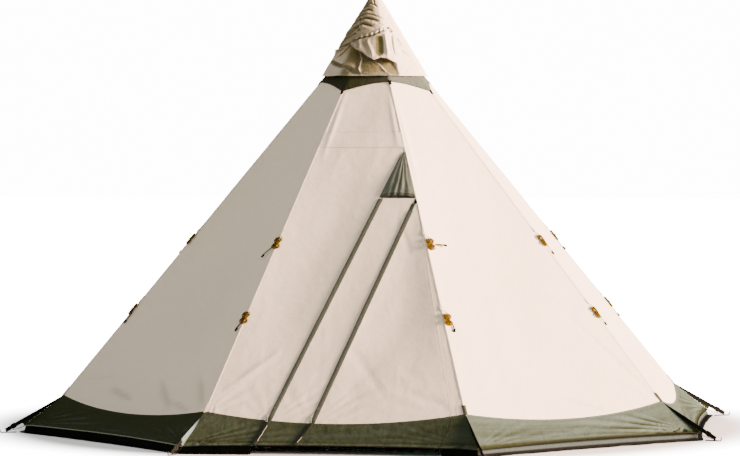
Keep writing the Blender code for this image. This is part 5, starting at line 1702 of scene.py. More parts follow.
        hood = lay_cloth("hood_cloth", columns, rows, knot, cloth)
        dress(hood, self.finishes.cloths["hood"], Place.TENT, "door_hood", slot="hood_cloth")
        length = (foot_radius - top) * FORM.slope
        declare(hood, self.hood_width, length, "gathered", 0.56 * self.hood_width * length, ["wall_front"])


@dataclass(frozen=True)
class Hank:
    """One wound guyline: where it leaves its corner, and which way its tail lies.

    The tail's heading is in degrees from straight down the corner, towards the next face.
    """

    corner: int
    upper: bool
    heading: float
    tail: float
    upper_level: float = 1.19
    lower_level: float = 1.575

    @property
    def radius(self) -> float:
        """The level at which it leaves the corner."""
        return self.upper_level if self.upper else self.lower_level

    @property
    def node(self) -> str:
        """Its CAD node."""
        return f"guyline_{'upper' if self.upper else 'lower'}_{CORNERS[self.corner]}"


@dataclass
class Guylines:
    """Sixteen guylines, each wound into a hank on its corner, with its line runner and sewn tab."""

    finishes: Finishes
    cord: float = 0.0015
    lead: float = 0.034
    half_run: float = 0.0245
    half_width: float = 0.0235
    spread: float = 0.019
    waist: float = 0.42
    waist_reach: float = 0.019
    points_a_turn: int = 16
    layer: float = 0.0033
    layers: int = 3
    turns: int = 4
    base: float = 0.0052
    door_shift: float = 0.024
    cross: float = 24.0
    wraps: int = 3
    wrap_half: float = 0.015
    wrap_rise: float = 0.008
    leg_gap: float = 0.0036
    leg_ends: tuple[tuple[float, float], ...] = ((0.1, 0.9), (0.9, 0.24), (0.24, 1.0))
    tail_base: float = 0.0045
    tab_half: float = 0.01
    tab_length: float = 0.04
    tab_above: float = 0.03

    def hanks(self) -> list[Hank]:
        """Every hank, with its tail's way and length."""
        headings = {(0, True): (94.0, 0.08), (0, False): (15.0, 0.05), (7, True): (-42.0, 0.09),
                    (7, False): (-20.0, 0.06), (1, True): (10.0, 0.07), (1, False): (8.0, 0.06),
                    (6, True): (-14.0, 0.08), (6, False): (12.0, 0.07)}
        found = []
        for corner in range(FORM.sides):
            for upper in (True, False):
                usual = (18.0 * math.sin(2.4 * corner + upper), 0.065 + 0.015 * math.cos(3.1 * corner))
                heading, tail = headings.get((corner, upper), usual)
                found.append(Hank(corner, upper, heading, tail))
        return found

    def local_path(self, hank: Hank) -> list[tuple[float, float, float]]:
        """A hank from its sewn end to its tail's end.

        Args:
            hank: the hank.

        Returns:
            Points as (across, up, out) from its middle.
        """
        edge = self.half_width
        top = self.half_run + edge + self.lead
        points = [(0.0, top, 0.0018), (0.001, top - 0.01, 0.003), (0.006, top - 0.024, 0.0045),
                  (0.9 * edge, self.half_run + 0.75 * edge, self.base)]
        points += self.winding(hank.corner * 2.0 + hank.upper)
        for k in range(1, self.wraps * 12 + 1):
            angle = 2 * math.pi * k / 12
            points.append((self.wrap_half * math.cos(angle), 0.006 - 0.0036 * k / 12,
                           self.base + self.layer - self.wrap_rise * math.sin(angle)))
        return points + self.folded_tail(hank, points[-1])

    def winding(self, seed: float) -> list[tuple[float, float, float]]:
        """The turns, in layers that lie crosswise on each other.

        Args:
            seed: sets this hank's own small unevenness.

        Returns:
            Points as (across, up, out) from the hank's middle.
        """
        points = []
        total = self.turns * self.layers
        for k in range(total * self.points_a_turn + 1):
            t = k / self.points_a_turn
            stage, inside = divmod(t, self.turns)
            inward = inside if stage % 2 == 0 else self.turns - inside
            if stage >= self.layers:
                inward = self.turns
            half = self.half_width - self.spread * inward / self.turns
            quarter, part = divmod((t % 1.0) * 4.0, 1.0)
            angle = math.pi * part
            if quarter == 0:
                x, y = half, blend(self.half_run, -self.half_run, part)
            elif quarter == 1:
                x, y = half * math.cos(angle), -self.half_run - half * math.sin(angle)
            elif quarter == 2:
                x, y = -half, blend(-self.half_run, self.half_run, part)
            else:
                x, y = -half * math.cos(angle), self.half_run + half * math.sin(angle)
            x *= 1 - self.waist * math.exp(-((y / self.waist_reach) ** 2))
            climb = [smooth_step(self.turns * n - 0.3, self.turns * n + 0.3, t) for n in (1, 2)]
            lean = math.radians(self.cross) * (climb[0] - 2.0 * climb[1]) + 0.05 * ripple(seed, 1)
            x, y = x * math.cos(lean) - y * math.sin(lean), x * math.sin(lean) + y * math.cos(lean)
            points.append((x + 0.0006 * ripple(t * 3.0, seed), y, self.base + self.layer * sum(climb)))
        return points

    def folded_tail(self, hank: Hank, start: tuple[float, float, float]) -> list[tuple[float, float, float]]:
        """The tail, out from the wraps and folded into legs side by side.

        Args:
            hank: the hank.
            start: where the wraps end.

        Returns:
            Points as (across, up, out) from the hank's middle.
        """
        aim = math.radians(hank.heading)
        bend = 0.012 * (1 if hank.heading > 0 else -1)
        laid = []
        for leg, (first, last) in enumerate(self.leg_ends):
            laid += [(leg - 1.0, blend(first, last, share)) for share in even(9)]
            if leg < 2:
                laid.append((leg - 0.5, last + math.copysign(0.03, last - first)))
        points = []
        for leg, share in laid:
            reach = share * (hank.tail + 0.03)
            curve = bend * math.sin(2.6 * share) + leg * self.leg_gap
            x = start[0] * (1 - share) + math.sin(aim) * reach + math.cos(aim) * curve
            y = start[1] - math.cos(aim) * reach + math.sin(aim) * curve
            points.append((x, y, blend(start[2], self.tail_base, smooth_step(0.0, 0.55, share))))
        return points

    def placed(self, hank: Hank) -> list[Vector]:
        """A hank's points on its corner, draped a little over the ridge.

        Args:
            hank: the hank.

        Returns:
            The cord's centreline.
        """
        side = FORM.across(hank.corner + 0.5)
        place = FORM.corner(hank.corner, hank.radius)
        upward = (FORM.corner(hank.corner, hank.radius - 0.5) - place).normalized()
        normal = side.cross(upward)
        normal = normal if normal.dot(FORM.bearing(hank.corner + 0.5)) > 0 else -normal
        local = self.local_path(hank)
        top = local[0][1]
        shift = self.door_shift if hank.corner == 0 else 0.0
        placed = []
        for x, y, z in local:
            across = x + shift * smooth_step(0.0, self.lead, top - y)
            droop = 0.27 * (math.sqrt(across * across + 0.005 ** 2) - 0.005)
            placed.append(place + side * across + upward * (y - top) + normal * (z - droop))
        return placed

    def runner(self, name: str, at: Vector, along: Vector) -> bpy.types.Object:
        """The line runner at the end of a tail: a small waisted bar of plastic.

        Args:
            name: the piece's name.
            at: its middle.
            along: the cord's way there.

        Returns:
            The piece.
        """
        start_clean()
        bpy.ops.mesh.primitive_cylinder_add(vertices=16, radius=0.0072, depth=0.023, end_fill_type="NGON")
        item = named(name)
        sink_ends(item, ((0.0026, 0.0), (0.0006, -0.0015)))
        for vert in item.data.vertices:
            waist = 1 - 0.22 * (1 - (vert.co.z / 0.01) ** 2)
            vert.co.x *= waist
            vert.co.y *= waist * 0.8
        round_edges(item, 0.0012)
        item.data.transform(Matrix.Translation(at) @ facing(along))
        smooth(item, 35)
        return item

    def tab(self, hank: Hank) -> bpy.types.Object:
        """The webbing tab sewn over a cord's end on the corner."""
        return corner_strip(hank.node.replace("guyline", "tab"), hank.corner, self.tab_half,
                            hank.radius - self.tab_above / FORM.slope, self.tab_length, (6, 14),
                            lambda share: 0.004 + 0.0018 * smooth_step(0.5, 0.8, share), 0.0012)

    def build(self) -> None:
        """Builds the cords, and after them their runners and tabs."""
        for hank in self.hanks():
            path = fair(self.placed(hank), 2)
            name = hank.node.replace("guyline", "hank")
            cord = tube(name, path, self.cord, self.finishes.cord, 2)
            dress(cord, self.finishes.cord, Place.TENT, hank.node, slot="cord")
            heading = (path[-1] - path[-3]).normalized()
            runner = self.runner(name.replace("hank", "runner"), path[-1] - heading * 0.004, heading)
            dress(runner, self.finishes.plastic, Place.TENT, slot="black_plastic")
            length = length_of(path)
            LOG.info("%s is %.3f m long", name, length)
            tab = self.tab(hank)
            dress(tab, self.finishes.cloths["canvas"], Place.TENT, slot="canvas")
            declare(tab, 2 * self.tab_half, self.tab_length, "stretched", None, [hank.node])


@dataclass
class CornerStraps:
    """The webbing from each corner to its peg: strap on edge, fin, tab, buckle, hem loop and peg."""

    finishes: Finishes
    width: float = 0.025
    cut: float = 0.424
    fin_cut: tuple[float, float] = (0.32, 0.045)
    tab_cut: tuple[float, float] = (0.03, 0.09)
    tab_half: float = 0.013
    tab_top: float = 2.05
    tab_foot: float = 2.097
    buckle_size: tuple[float, float, float] = (0.034, 0.03, 0.0045)
    loop: float = 0.002
    start: float = 2.1
    reach: float = 2.474
    end_height: float = 0.027
    peg: float = 0.004
    peg_start: float = 2.394
    peg_end: float = 2.505
    # corners whose strap and fin keep their painted highlight
    painted_highlight: tuple[int, ...] = (7,)
    pale_tabs: tuple[int, ...] = (6, 7)

    def ends(self) -> tuple[Vector, Vector]:
        """Start and end of the strap's upper edge at corner 0."""
        out = FORM.bearing(0.5)
        return FORM.corner(0, self.start, 0.002) + out * 0.002, out * self.reach + UP * self.end_height

    def along(self, share: float) -> tuple[Vector, Vector]:
        """A point on the strap's upper edge, and the way down the strap there."""
        start, end = self.ends()
        down = (end - start).normalized().cross(FORM.across(0.5))
        return start.lerp(end, share), down if down.z < 0 else -down

    def depth(self, share: float) -> float:
        """How far below the strap's upper edge the skirt's corner lies; 0 beyond the hem."""
        place, down = self.along(share)
        start, end = self.ends()
        way = (end - start).normalized()
        top, foot = (FORM.skirt(0, 1.0, drop) + FORM.bearing(0.5) * 0.0005 for drop in (0.0, 1.0))
        drop = (place - top).dot(way) / (foot - top).dot(way)
        return 0.0 if drop > 1 else (top.lerp(foot, max(drop, 0.0)) - place).dot(down)

    def sway(self, share: float, depth: float) -> float:
        """How far the strap leans sideways."""
        free = math.sin(math.pi * smooth_step(0.05, 1.0, share))
        return free * (0.0025 * ripple(share * 2.5, 4.0) + 0.08 * depth * ripple(share * 3.0, 9.0))

    def strap(self) -> bpy.types.Object:
        """The strap itself, on edge from the corner's seam to the peg."""
        columns, rows = 90, 6
        side = FORM.across(0.5)
        depths = [self.depth(i / columns) for i in range(columns + 1)]
        hem = max(i for i in range(columns + 1) if depths[i] > 0) / columns

        def knot(i: int, j: int) -> Knot:
            """The cloth's point at a column and a row."""
            share = i / columns
            place, down = self.along(share)
            full = self.width if share > hem else min(self.width, max(depths[i], 0.002))
            depth = full * j / rows
            thick = 0.0016 + 0.0004 * math.sin(math.pi * j / rows)
            place = place + down * depth + side * (self.sway(share, depth) - thick)
            # painted highlight along the strap's free run above the hem
            painted_highlight = smooth_step(0.1, 0.4, share) * (1 - smooth_step(hem - 0.06, hem, share))
            return Knot(place, depth, -share * 0.42, min(depth, full - depth), painted_highlight)

        return lay_cloth("strap_web", columns, rows, knot, 0.0034)

    def fin(self) -> bpy.types.Object:
        """The triangle of cloth under the strap, down to the skirt's corner."""
        side = FORM.across(0.5)
        columns, rows = 48, 8
        hem = max(k / 90 for k in range(91) if self.depth(k / 90) > 0)

        def knot(i: int, j: int) -> Knot:
            """The cloth's point at a column and a row."""
            share = i / columns * (hem + 0.03)
            place, down = self.along(share)
            deep = max(self.depth(min(share, hem)), 0.003) if share <= hem else self.width * 0.9
            depth = 0.001 + (deep - 0.001) * j / rows
            wave = 0.0012 * ripple(share * 9.0, j / rows * 3.0) * math.sin(math.pi * j / rows)
            place = place + down * depth + side * (self.sway(share, depth) - 0.0009 + wave)
            # painted light on the fin
            return Knot(place, share * 0.3, -depth, 1.0, smooth_step(0.06, 0.24, share))

        return lay_cloth("strap_fin", columns, rows, knot, 0.0018)

    def tab(self) -> bpy.types.Object:
        """The webbing patch that the strap's upper end is sewn under, flat on the corner."""
        length = (self.tab_foot - self.tab_top) * FORM.slope
        return corner_strip("strap_tab", 0, self.tab_half, self.tab_top, length, (4, 10),
                            lambda share: 0.0046, 0.0014, 0.0006, self.tab_top * FORM.slope)

    def buckle(self) -> bpy.types.Object:
        """A ladder lock on the strap: a frame with two bars and a thumb edge."""
        start_clean()
        bpy.ops.mesh.primitive_cube_add(size=1.0)
        item = named("strap_buckle")
        item.data.transform(Matrix.Diagonal((*self.buckle_size, 1.0)))
        sink_ends(item, ((0.0045, 0.0), (0.0012, -0.0012)))
        for vert in item.data.vertices:
            if vert.co.y > 0.012:
                vert.co.z += 0.0022 * (vert.co.y - 0.012) / 0.003
        round_edges(item, 0.0009)
        place, down = self.along(0.86)
        side = FORM.across(0.5)
        way = down.cross(side)
        turn = Matrix((down, -way, side)).transposed().to_4x4()
        item.data.transform(Matrix.Translation(place + down * 0.5 * self.width) @ turn)
        smooth(item, 35)
        return item

    def peg_pin(self) -> bpy.types.Object:
        """The round steel peg on the ground, with its hook turned up."""
        out = FORM.bearing(0.5)
        bend, hook = 0.01, 0.022
        low = [(self.peg_start, 0.0), (self.peg_start + 0.006, 0.0), (2.43, 0.0), (2.47, 0.0),
               (self.peg_end - bend, 0.0), (self.peg_end - 0.3 * bend, 0.3 * bend),
               (self.peg_end, bend), (self.peg_end, hook)]
        points = [out * reach + UP * (height + self.peg) for reach, height in low]
        item = tube("peg_steel", fair(points, 4), self.peg, self.finishes.zinc, 3)
        tip = points[0]
        for vert in item.data.vertices:
            near = (vert.co - tip).dot(out)
            if near < 0.006:
                pull = 1 - 0.65 * (1 - max(near, 0.0) / 0.006)
                axis = tip + out * near
                vert.co = axis + (vert.co - axis) * pull
        return item

    def loop_path(self) -> list[Vector]:
        """The hem loop's centreline, from the hem's corner to the peg."""
        hem = FORM.skirt(0, 1.0, 1.0)
        out = FORM.bearing(0.5)
        start = hem + out * 0.001 - UP * 0.004
        end = out * (self.reach - 0.004) + UP * 0.0105
        points = []
        for k in range(16):
            share = k / 15
            place = start.lerp(end, share)
            place.z -= 0.005 * math.sin(math.pi * share) * (1 - 0.3 * share)
            points.append(place + FORM.across(0.5) * 0.006 * math.sin(math.pi * share))
        return points

    def build(self) -> None:
        """Builds one corner's set, and a copy of it for each corner."""
        olive = self.finishes.cloths["skirt"]
        parts = [(self.strap(), self.finishes.webbing, "webbing"), (self.fin(), olive, "skirt_cloth"),
                 (self.buckle(), self.finishes.plastic, "black_plastic"),
                 (self.tab(), self.finishes.tab_webbing, "webbing"),
                 (self.peg_pin(), self.finishes.peg, "bright_metal")]
        loop = self.loop_path()
        for corner in range(FORM.sides):
            turn = Matrix.Rotation(corner * FORM.step, 4, "Z")
            node = f"corner_strap_{CORNERS[corner]}"
            for master, material, slot in parts:
                item = master.copy()
                item.data = master.data.copy()
                item.name = f"{master.name}_{CORNERS[corner]}"
                item.data.transform(turn)
                bpy.context.collection.objects.link(item)
                # the painted highlight stays only on the listed corners
                if master.name in ("strap_web", "strap_fin") and corner not in self.painted_highlight:
                    for value in item.data.attributes["soil"].data:
                        value.value = 0.0
                if master.name == "strap_tab" and corner in self.pale_tabs:
                    material = self.finishes.cloths["canvas"]
                dress(item, material, Place.TENT, node, slot=slot)
                if master.name == "strap_web":
                    area = 0.8 * self.width * self.cut
                    declare(item, self.width, self.cut, "stretched", area, [f"wall_{FACES[corner]}"])
                elif master.name == "strap_fin":
                    declare(item, *self.fin_cut, "stretched", 0.52 * math.prod(self.fin_cut), [node])
                elif master.name == "strap_tab":
                    declare(item, *self.tab_cut, "stretched", None, [node])
            path = [turn @ point for point in loop]
            cord = tube(f"hem_loop_{CORNERS[corner]}", path, self.loop, self.finishes.olive_cord, 2)
            dress(cord, self.finishes.olive_cord, Place.TENT, slot="cord")
            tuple(path[0])
            length_of(path)
        for master, _, _ in parts:
            bpy.data.objects.remove(master)


CAP_RADIUS = 0.352
CAP_SLANT = 0.683


@dataclass
class Crease:
    """A fold on the cap, along points of (degrees, height share).

    The height is that of the cloth's edge beside the line, negative for a groove, and the lean puts
    a fold of the other sign on the line's right (positive) or left side.
    """

    way: tuple[tuple[float, float], ...]
    height: float
    width: float
    lean: float = 0.0
    box: tuple[float, float, float, float] = field(init=False)

    def __post_init__(self) -> None:
        """Finds the range of places that the fold reaches."""
        arc = 4.0 * self.width / (math.radians(1.0) * 0.1)
        rise = 4.0 * self.width / CAP_SLANT
        azimuths, shares = zip(*self.way)
        self.box = (min(azimuths) - arc, max(azimuths) + arc, min(shares) - rise, max(shares) + rise)

    def at(self, degrees: float, share: float) -> float:
        """Height of the fold at a place.

        Args:
            degrees: the place's azimuth.
            share: its height share.

        Returns:
            The height off the plain cap.
        """
        low, high, under, over = self.box
        if not (low < degrees < high and under < share < over):
            return 0.0
        arc = math.radians(1.0) * (CAP_RADIUS * (1 - share) + 0.01)
        best, side, run = math.inf, 0.0, 0.0
        count = len(self.way) - 1
        for k in range(count):
            ax, ay = (degrees - self.way[k][0]) * arc, (share - self.way[k][1]) * CAP_SLANT
            bx = (self.way[k + 1][0] - self.way[k][0]) * arc
            by = (self.way[k + 1][1] - self.way[k][1]) * CAP_SLANT
            part = min(max((ax * bx + ay * by) / (bx * bx + by * by), 0.0), 1.0)
            dx, dy = ax - bx * part, ay - by * part
            gap = math.hypot(dx, dy)
            if gap < best:
                best, run = gap, (k + part) / count
                side = math.copysign(gap, bx * dy - by * dx)
        fade = smooth_step(0.0, 0.22, run) * smooth_step(0.0, 0.22, 1 - run)
        edge = math.exp(-((side / self.width) ** 2))
        other = math.exp(-(((abs(side) - 1.7 * self.width) / (1.1 * self.width)) ** 2))
        other *= abs(self.lean) if side * self.lean < 0 else 0.0
        return self.height * fade * (edge - other)


@dataclass
class VentCap:
    """The pointed cap: a crumpled cone of cloth whose front hangs in a fold over a hollow."""

    finishes: Finishes
    hem_radius: float = CAP_RADIUS
    hem_height: float = 2.305
    tip_height: float = 2.89
    tip_drop: float = 0.006
    clearance: float = 0.01
    round_share: float = 0.86
    columns: int = 310
    rows: int = 142
    lip_line: tuple[tuple[float, float], ...] = (
        (-40, 0.385), (-31, 0.352), (-20, 0.3), (-11, 0.27), (-2, 0.215), (6, 0.18), (14, 0.205), (22, 0.192),
        (33, 0.135), (40, 0.1))
    draw_line: tuple[tuple[float, float], ...] = (
        (-60, 0.36), (-35, 0.392), (-24, 0.425), (-14, 0.443), (0, 0.462), (18, 0.505), (44, 0.545))
    upper: tuple[Crease, ...] = (
        Crease(((-88, 0.6), (-66, 0.69), (-49, 0.727), (-24, 0.748), (6, 0.725)), -0.0075, 0.0085, 0.8),
        Crease(((-80, 0.45), (-70, 0.52), (-60, 0.585), (-44, 0.636), (-22, 0.648), (4, 0.63), (30, 0.6)),
               -0.01, 0.01, 0.8),
        Crease(((-76, 0.3), (-64, 0.39), (-53, 0.477), (-39, 0.557), (-26, 0.59), (-10, 0.568), (8, 0.545)),
               -0.0105, 0.0105, 0.8),
        Crease(((-92, 0.36), (-76, 0.47), (-66, 0.55), (-58, 0.6)), -0.007, 0.008, 0.7),
        Crease(((-58, 0.37), (-46, 0.45), (-36, 0.5), (-24, 0.53)), -0.008, 0.0085, 0.7),
        Crease(((-84, 0.52), (-70, 0.61), (-56, 0.665), (-38, 0.695), (-18, 0.7)), -0.0085, 0.0085, 0.7),
        Crease(((-86, 0.66), (-66, 0.75), (-44, 0.785), (-14, 0.785)), -0.007, 0.0075, 0.7),
        Crease(((-80, 0.25), (-66, 0.33), (-54, 0.41), (-42, 0.47)), -0.0085, 0.0085, 0.7),
        Crease(((-88, 0.3), (-74, 0.4), (-64, 0.47), (-54, 0.525), (-42, 0.585)), -0.009, 0.008, 0.7),
        Crease(((-30, 0.7), (-5, 0.69), (20, 0.665), (38, 0.63)), -0.0045, 0.007, 0.7),
        Crease(((-14, 0.61), (10, 0.6), (34, 0.565)), -0.004, 0.0065, 0.7),
        Crease(((-40, 0.8), (-20, 0.82), (5, 0.8), (24, 0.77)), -0.0045, 0.007, 0.7),
        Crease(((-8, 0.96), (-6, 0.88), (8, 0.8)), -0.006, 0.006, 0.6),
        Crease(((-60, 0.94), (-48, 0.86), (-44, 0.78)), -0.005, 0.007, 0.6),
        Crease(((-6, 0.42), (-3, 0.36), (3, 0.28), (5, 0.2)), 0.01, 0.009),
        Crease(((15, 0.47), (15, 0.38), (14, 0.3), (13, 0.2)), -0.01, 0.02, 0.0),
        Crease(((26, 0.5), (25, 0.42), (24, 0.32), (23, 0.2)), 0.01, 0.009),
        Crease(((-22, 0.42), (-16, 0.36), (-13, 0.3)), 0.006, 0.009),
        Crease(((46, 0.49), (40, 0.4), (37, 0.3), (36, 0.2)), -0.005, 0.01, 0.5),
        Crease(((52, 0.44), (56, 0.38), (58, 0.32)), -0.005, 0.007, 0.7),
        Crease(((52, 0.3), (58, 0.26), (62, 0.2)), -0.0045, 0.0075, 0.7),
        Crease(((36, 0.555), (44, 0.53), (50, 0.5)), -0.007, 0.006, 0.8),
    )
    lower: tuple[Crease, ...] = (
        Crease(((-33, 0.372), (-50, 0.345), (-66, 0.315), (-84, 0.29)), -0.012, 0.008, -0.7),
        Crease(((-33, 0.35), (-41, 0.295), (-46, 0.25), (-56, 0.2)), -0.012, 0.0085, -0.8),
        Crease(((-36, 0.36), (-54, 0.3), (-70, 0.245)), -0.008, 0.007, -0.8),
        Crease(((-72, 0.18), (-56, 0.15), (-39, 0.114), (-26, 0.085), (-17, 0.04), (-11, 0.005)),
               -0.013, 0.014, -0.5),
        Crease(((-22, 0.3), (-17, 0.245), (-13, 0.18), (-13, 0.09), (-8, 0.01)), 0.016, 0.0075, 1.1),
        Crease(((2, 0.2), (8, 0.16), (14, 0.11), (18, 0.066), (21, 0.03)), 0.018, 0.0085, 0.8),
        Crease(((-8, 0.06), (4, 0.045), (14, 0.05)), -0.006, 0.007, 0.6),
        Crease(((31, 0.16), (34, 0.1), (33, 0.02)), 0.008, 0.007),
    )
    behind: tuple[Crease, ...] = (
        Crease(((100, 0.2), (118, 0.24), (140, 0.33)), -0.008, 0.013, 0.7),
        Crease(((142, 0.46), (160, 0.38), (178, 0.33)), -0.009, 0.013, 0.7),
        Crease(((-178, 0.6), (-160, 0.52), (-138, 0.5)), -0.008, 0.011, 0.7),
        Crease(((-150, 0.24), (-128, 0.3), (-106, 0.4)), -0.009, 0.012, 0.7),
        Crease(((120, 0.66), (140, 0.62), (160, 0.6)), -0.006, 0.01, 0.7),
        Crease(((-120, 0.14), (-100, 0.18), (-84, 0.14)), -0.008, 0.013, 0.7),
        Crease(((70, 0.62), (86, 0.56), (100, 0.48)), -0.006, 0.011, 0.7),
    )

    @staticmethod
    def follow(line: Sequence[tuple[float, float]], degrees: float) -> float:
        """The height share of a line at an azimuth."""
        for (low, start), (high, end) in zip(line, line[1:]):
            if degrees <= high:
                return blend(start, end, max(0.0, (degrees - low) / (high - low)))
        return line[-1][1]

    def fold_share(self, degrees: float) -> float:
        """How much of the overhanging fold there is at an azimuth."""
        return smooth_step(-41, -29, degrees) * (1 - smooth_step(32, 36, degrees))

    def cone(self, share: float, azimuth: float) -> float:
        """Radius of the plain cap: a cone whose eight corners are blunt."""
        off_corner = (azimuth / FORM.step + 0.5) % 1.0 - 0.5
        flat = FORM.cos_half / math.cos(off_corner * FORM.step)
        free = 1 - smooth_step(self.round_share - 0.15, self.round_share, share)
        return self.hem_radius * (1 - share) * blend(1.0, flat / FORM.cos_half * 0.975, 0.5 * free)

    def folds(self, share: float, degrees: float, over: bool, under: bool) -> float:
        """Height of the creases at a place.

        Args:
            share: the height share.
            degrees: the azimuth.
            over: whether the cloth over the fold's lip counts.
            under: whether the cloth under it counts.

        Returns:
            The height off the plain cap.
        """
        height = sum(crease.at(degrees, share) for crease in self.behind)
        if over:
            height += 1.35 * sum(crease.at(degrees, share) for crease in self.upper)
            drawn = (share - self.follow(self.draw_line, degrees)) * CAP_SLANT
            reach = smooth_step(-44, -34, degrees) * (1 - smooth_step(22, 34, degrees))
            tuck = 0.5 + 0.5 * math.cos(math.radians(degrees) * 38.0 + 1.5 * ripple(degrees / 9.0, 3.0))
            height += reach * (0.011 * tuck * math.exp(-((drawn - 0.008) / 0.008) ** 2)
                               - 0.013 * (1.1 - 0.5 * tuck) * math.exp(-((drawn + 0.007) / 0.007) ** 2))
        if under:
            height += 1.2 * sum(crease.at(degrees, share) for crease in self.lower)
        return height * (1 - smooth_step(0.88, 0.97, share)) * smooth_step(-0.01, 0.03, share)

    def relief(self, share: float, degrees: float, folds: float) -> float:
        """Height of the cloth off the plain cap: its creases with a softer crumple."""
        swing = math.radians(degrees)
        height = 0.004 * ripple(3 * math.cos(swing), 3 * math.sin(swing), share * 5.0) * (1 - share)
        height += 0.0016 * ripple(11 * math.cos(swing), 11 * math.sin(swing), share * 17.0) * (1 - share)
        return folds + height * (1 - smooth_step(0.88, 0.97, share)) * smooth_step(-0.01, 0.03, share)

    @staticmethod
    def stain(folds: float, degrees: float, share: float) -> float:
        """How much painted shade the outer side gets: over its left half, away from the key light, and darkest
        in the grooves there.
        """
        left = smooth_step(42, -12, degrees) * smooth_step(-140, -80, degrees)
        left *= blend(0.4, 0.78, smooth_step(0.1, 0.36, share))
        groove = smooth_step(0.0003, 0.006, -folds) * (1 - 0.55 * smooth_step(14, 44, abs(degrees + 12) - 40))
        return min(left + 0.93 * groove, 1.0)

    def settle(self, share: float, radius: float) -> float:
        """Keeps a radius clear of the canvas and collar under it."""
        level = blend(self.hem_height, self.tip_height, share)
        return max(radius, (FORM.apex_height - level) / FORM.pitch + self.clearance - 0.004)

    def profile(self, azimuth: float) -> list[tuple[float, float, float]]:
        """The cap's outline at an azimuth.

        Args:
            azimuth: the bearing from the door face, in radians.

        Returns:
            Height share, radius and share of painted shade of each point from the tip to the hem.
        """
        degrees = math.degrees((azimuth + math.pi) % (2 * math.pi) - math.pi)
        fold = self.fold_share(degrees)
        plain = []
        for j in range(self.rows + 1):
            share = 1 - (j / self.rows) ** 0.92
            folds = self.folds(share, degrees, True, True)
            bend = self.relief(share, degrees, folds)
            radius = self.settle(share, self.cone(share, azimuth) + bend)
            plain.append((share, radius, self.stain(folds, degrees, share)))
        if fold <= 0.0:
            return plain
        lip, drawn = self.follow(self.lip_line, degrees), self.follow(self.draw_line, degrees)
        height = self.tip_height - self.hem_height
        deep = 0.044 * smooth_step(-34, -16, degrees)
        over = [(share, 0.0) for share in (1.0, 0.93, 0.84, 0.75, 0.66, 0.58) if share > drawn + 0.06]
        over += [(drawn + 0.02, 0.002), (drawn - 0.03, 0.01), (blend(drawn, lip, 0.55), 0.022),
                 (lip + 0.035, 0.03), (lip + 0.008, 0.031)]
        under = [(lip - 0.004, 0.022), (lip + 0.004, 0.004), (lip + 0.016, -0.014),
                 (lip - 0.01, -0.85 * deep - 0.01), (0.62 * lip, -deep), (0.36 * lip, -0.8 * deep),
                 (0.14 * lip, -0.4 * deep), (0.0, 0.0)]
        steps = 12
        bends = [Vector((share, self.cone(share, azimuth) + out, 0.0)) for share, out in over + under]
        curve = fair(bends, steps)
        turn = steps * (len(over) - 1) + steps // 2
        lengths = [0.0]
        for a, b in zip(curve, curve[1:]):
            lengths.append(lengths[-1] + math.hypot((b.x - a.x) * height, b.y - a.y))
        found = []
        k = 0
        for j in range(self.rows + 1):
            want = lengths[-1] * (j / self.rows)
            while k < len(lengths) - 2 and lengths[k + 1] < want:
                k += 1
            part = min((want - lengths[k]) / max(lengths[k + 1] - lengths[k], 1e-9), 1.0)
            at = curve[k].lerp(curve[k + 1], part)
            share = min(max(at.x, 0.0), 1.0)
            above = k < turn
            folds = self.folds(share, degrees, above, not above)
            bend = self.relief(share, degrees, folds)
            soil = self.stain(folds, degrees, share)
            if not above:
                # painted shade in the hollow under the fold: darkest near the lip, less on raised creases
                soil = 0.94 + 0.35 * math.exp(-max(lip - share, 0.0) / 0.06) - 22.0 * max(folds, 0.0)
            base, radius, stain = plain[j]
            joined = blend(base, share, fold)
            found.append((joined, self.settle(joined, blend(radius, at.y + bend, fold)),
                          blend(stain, min(max(soil, 0.0), 1.0), fold)))
        return found

    def build(self) -> None:
        """Builds the cap and the small eyelets along its drawn line."""
        around = [2 * math.pi * t - 0.5 * math.sin(2 * math.pi * t) for t in even(self.columns)]
        profiles = [self.profile(azimuth) for azimuth in around[:-1]]
        slant = math.hypot(self.tip_height - self.hem_height, self.hem_radius)

        def knot(i: int, j: int) -> Knot:
            """The cloth's point at a column and a row."""
            turn = around[i % self.columns]
            share, radius, soil = profiles[i % self.columns][j]
            if j == 0:
                return Knot(Vector((0, 0, self.tip_height - self.tip_drop)), around[i] * self.hem_radius, 0.0)
            place = FORM.bearing(turn / FORM.step) * radius
            place += UP * blend(self.hem_height, self.tip_height, share)
            place.z += 0.0035 * ripple(3 * math.cos(turn), 3 * math.sin(turn), 6.0) * (j / self.rows) ** 6
            place.z = min(place.z, self.tip_height - self.tip_drop)
            run = j / self.rows * slant
            return Knot(place, around[i] * self.hem_radius, -run, slant - run, soil)

        cap = lay_cloth("cap_cloth", self.columns, self.rows, knot, 0.0018, closed=True, degrees=60)
        dress(cap, self.finishes.cloths["cap"], Place.CAP, "vent_cap", slot="canvas")
        flat = 2 * math.pi * self.hem_radius
        declare(cap, flat, slant, "draped", 0.56 * flat * slant, ["cap_stem"])
        self.build_eyelets()

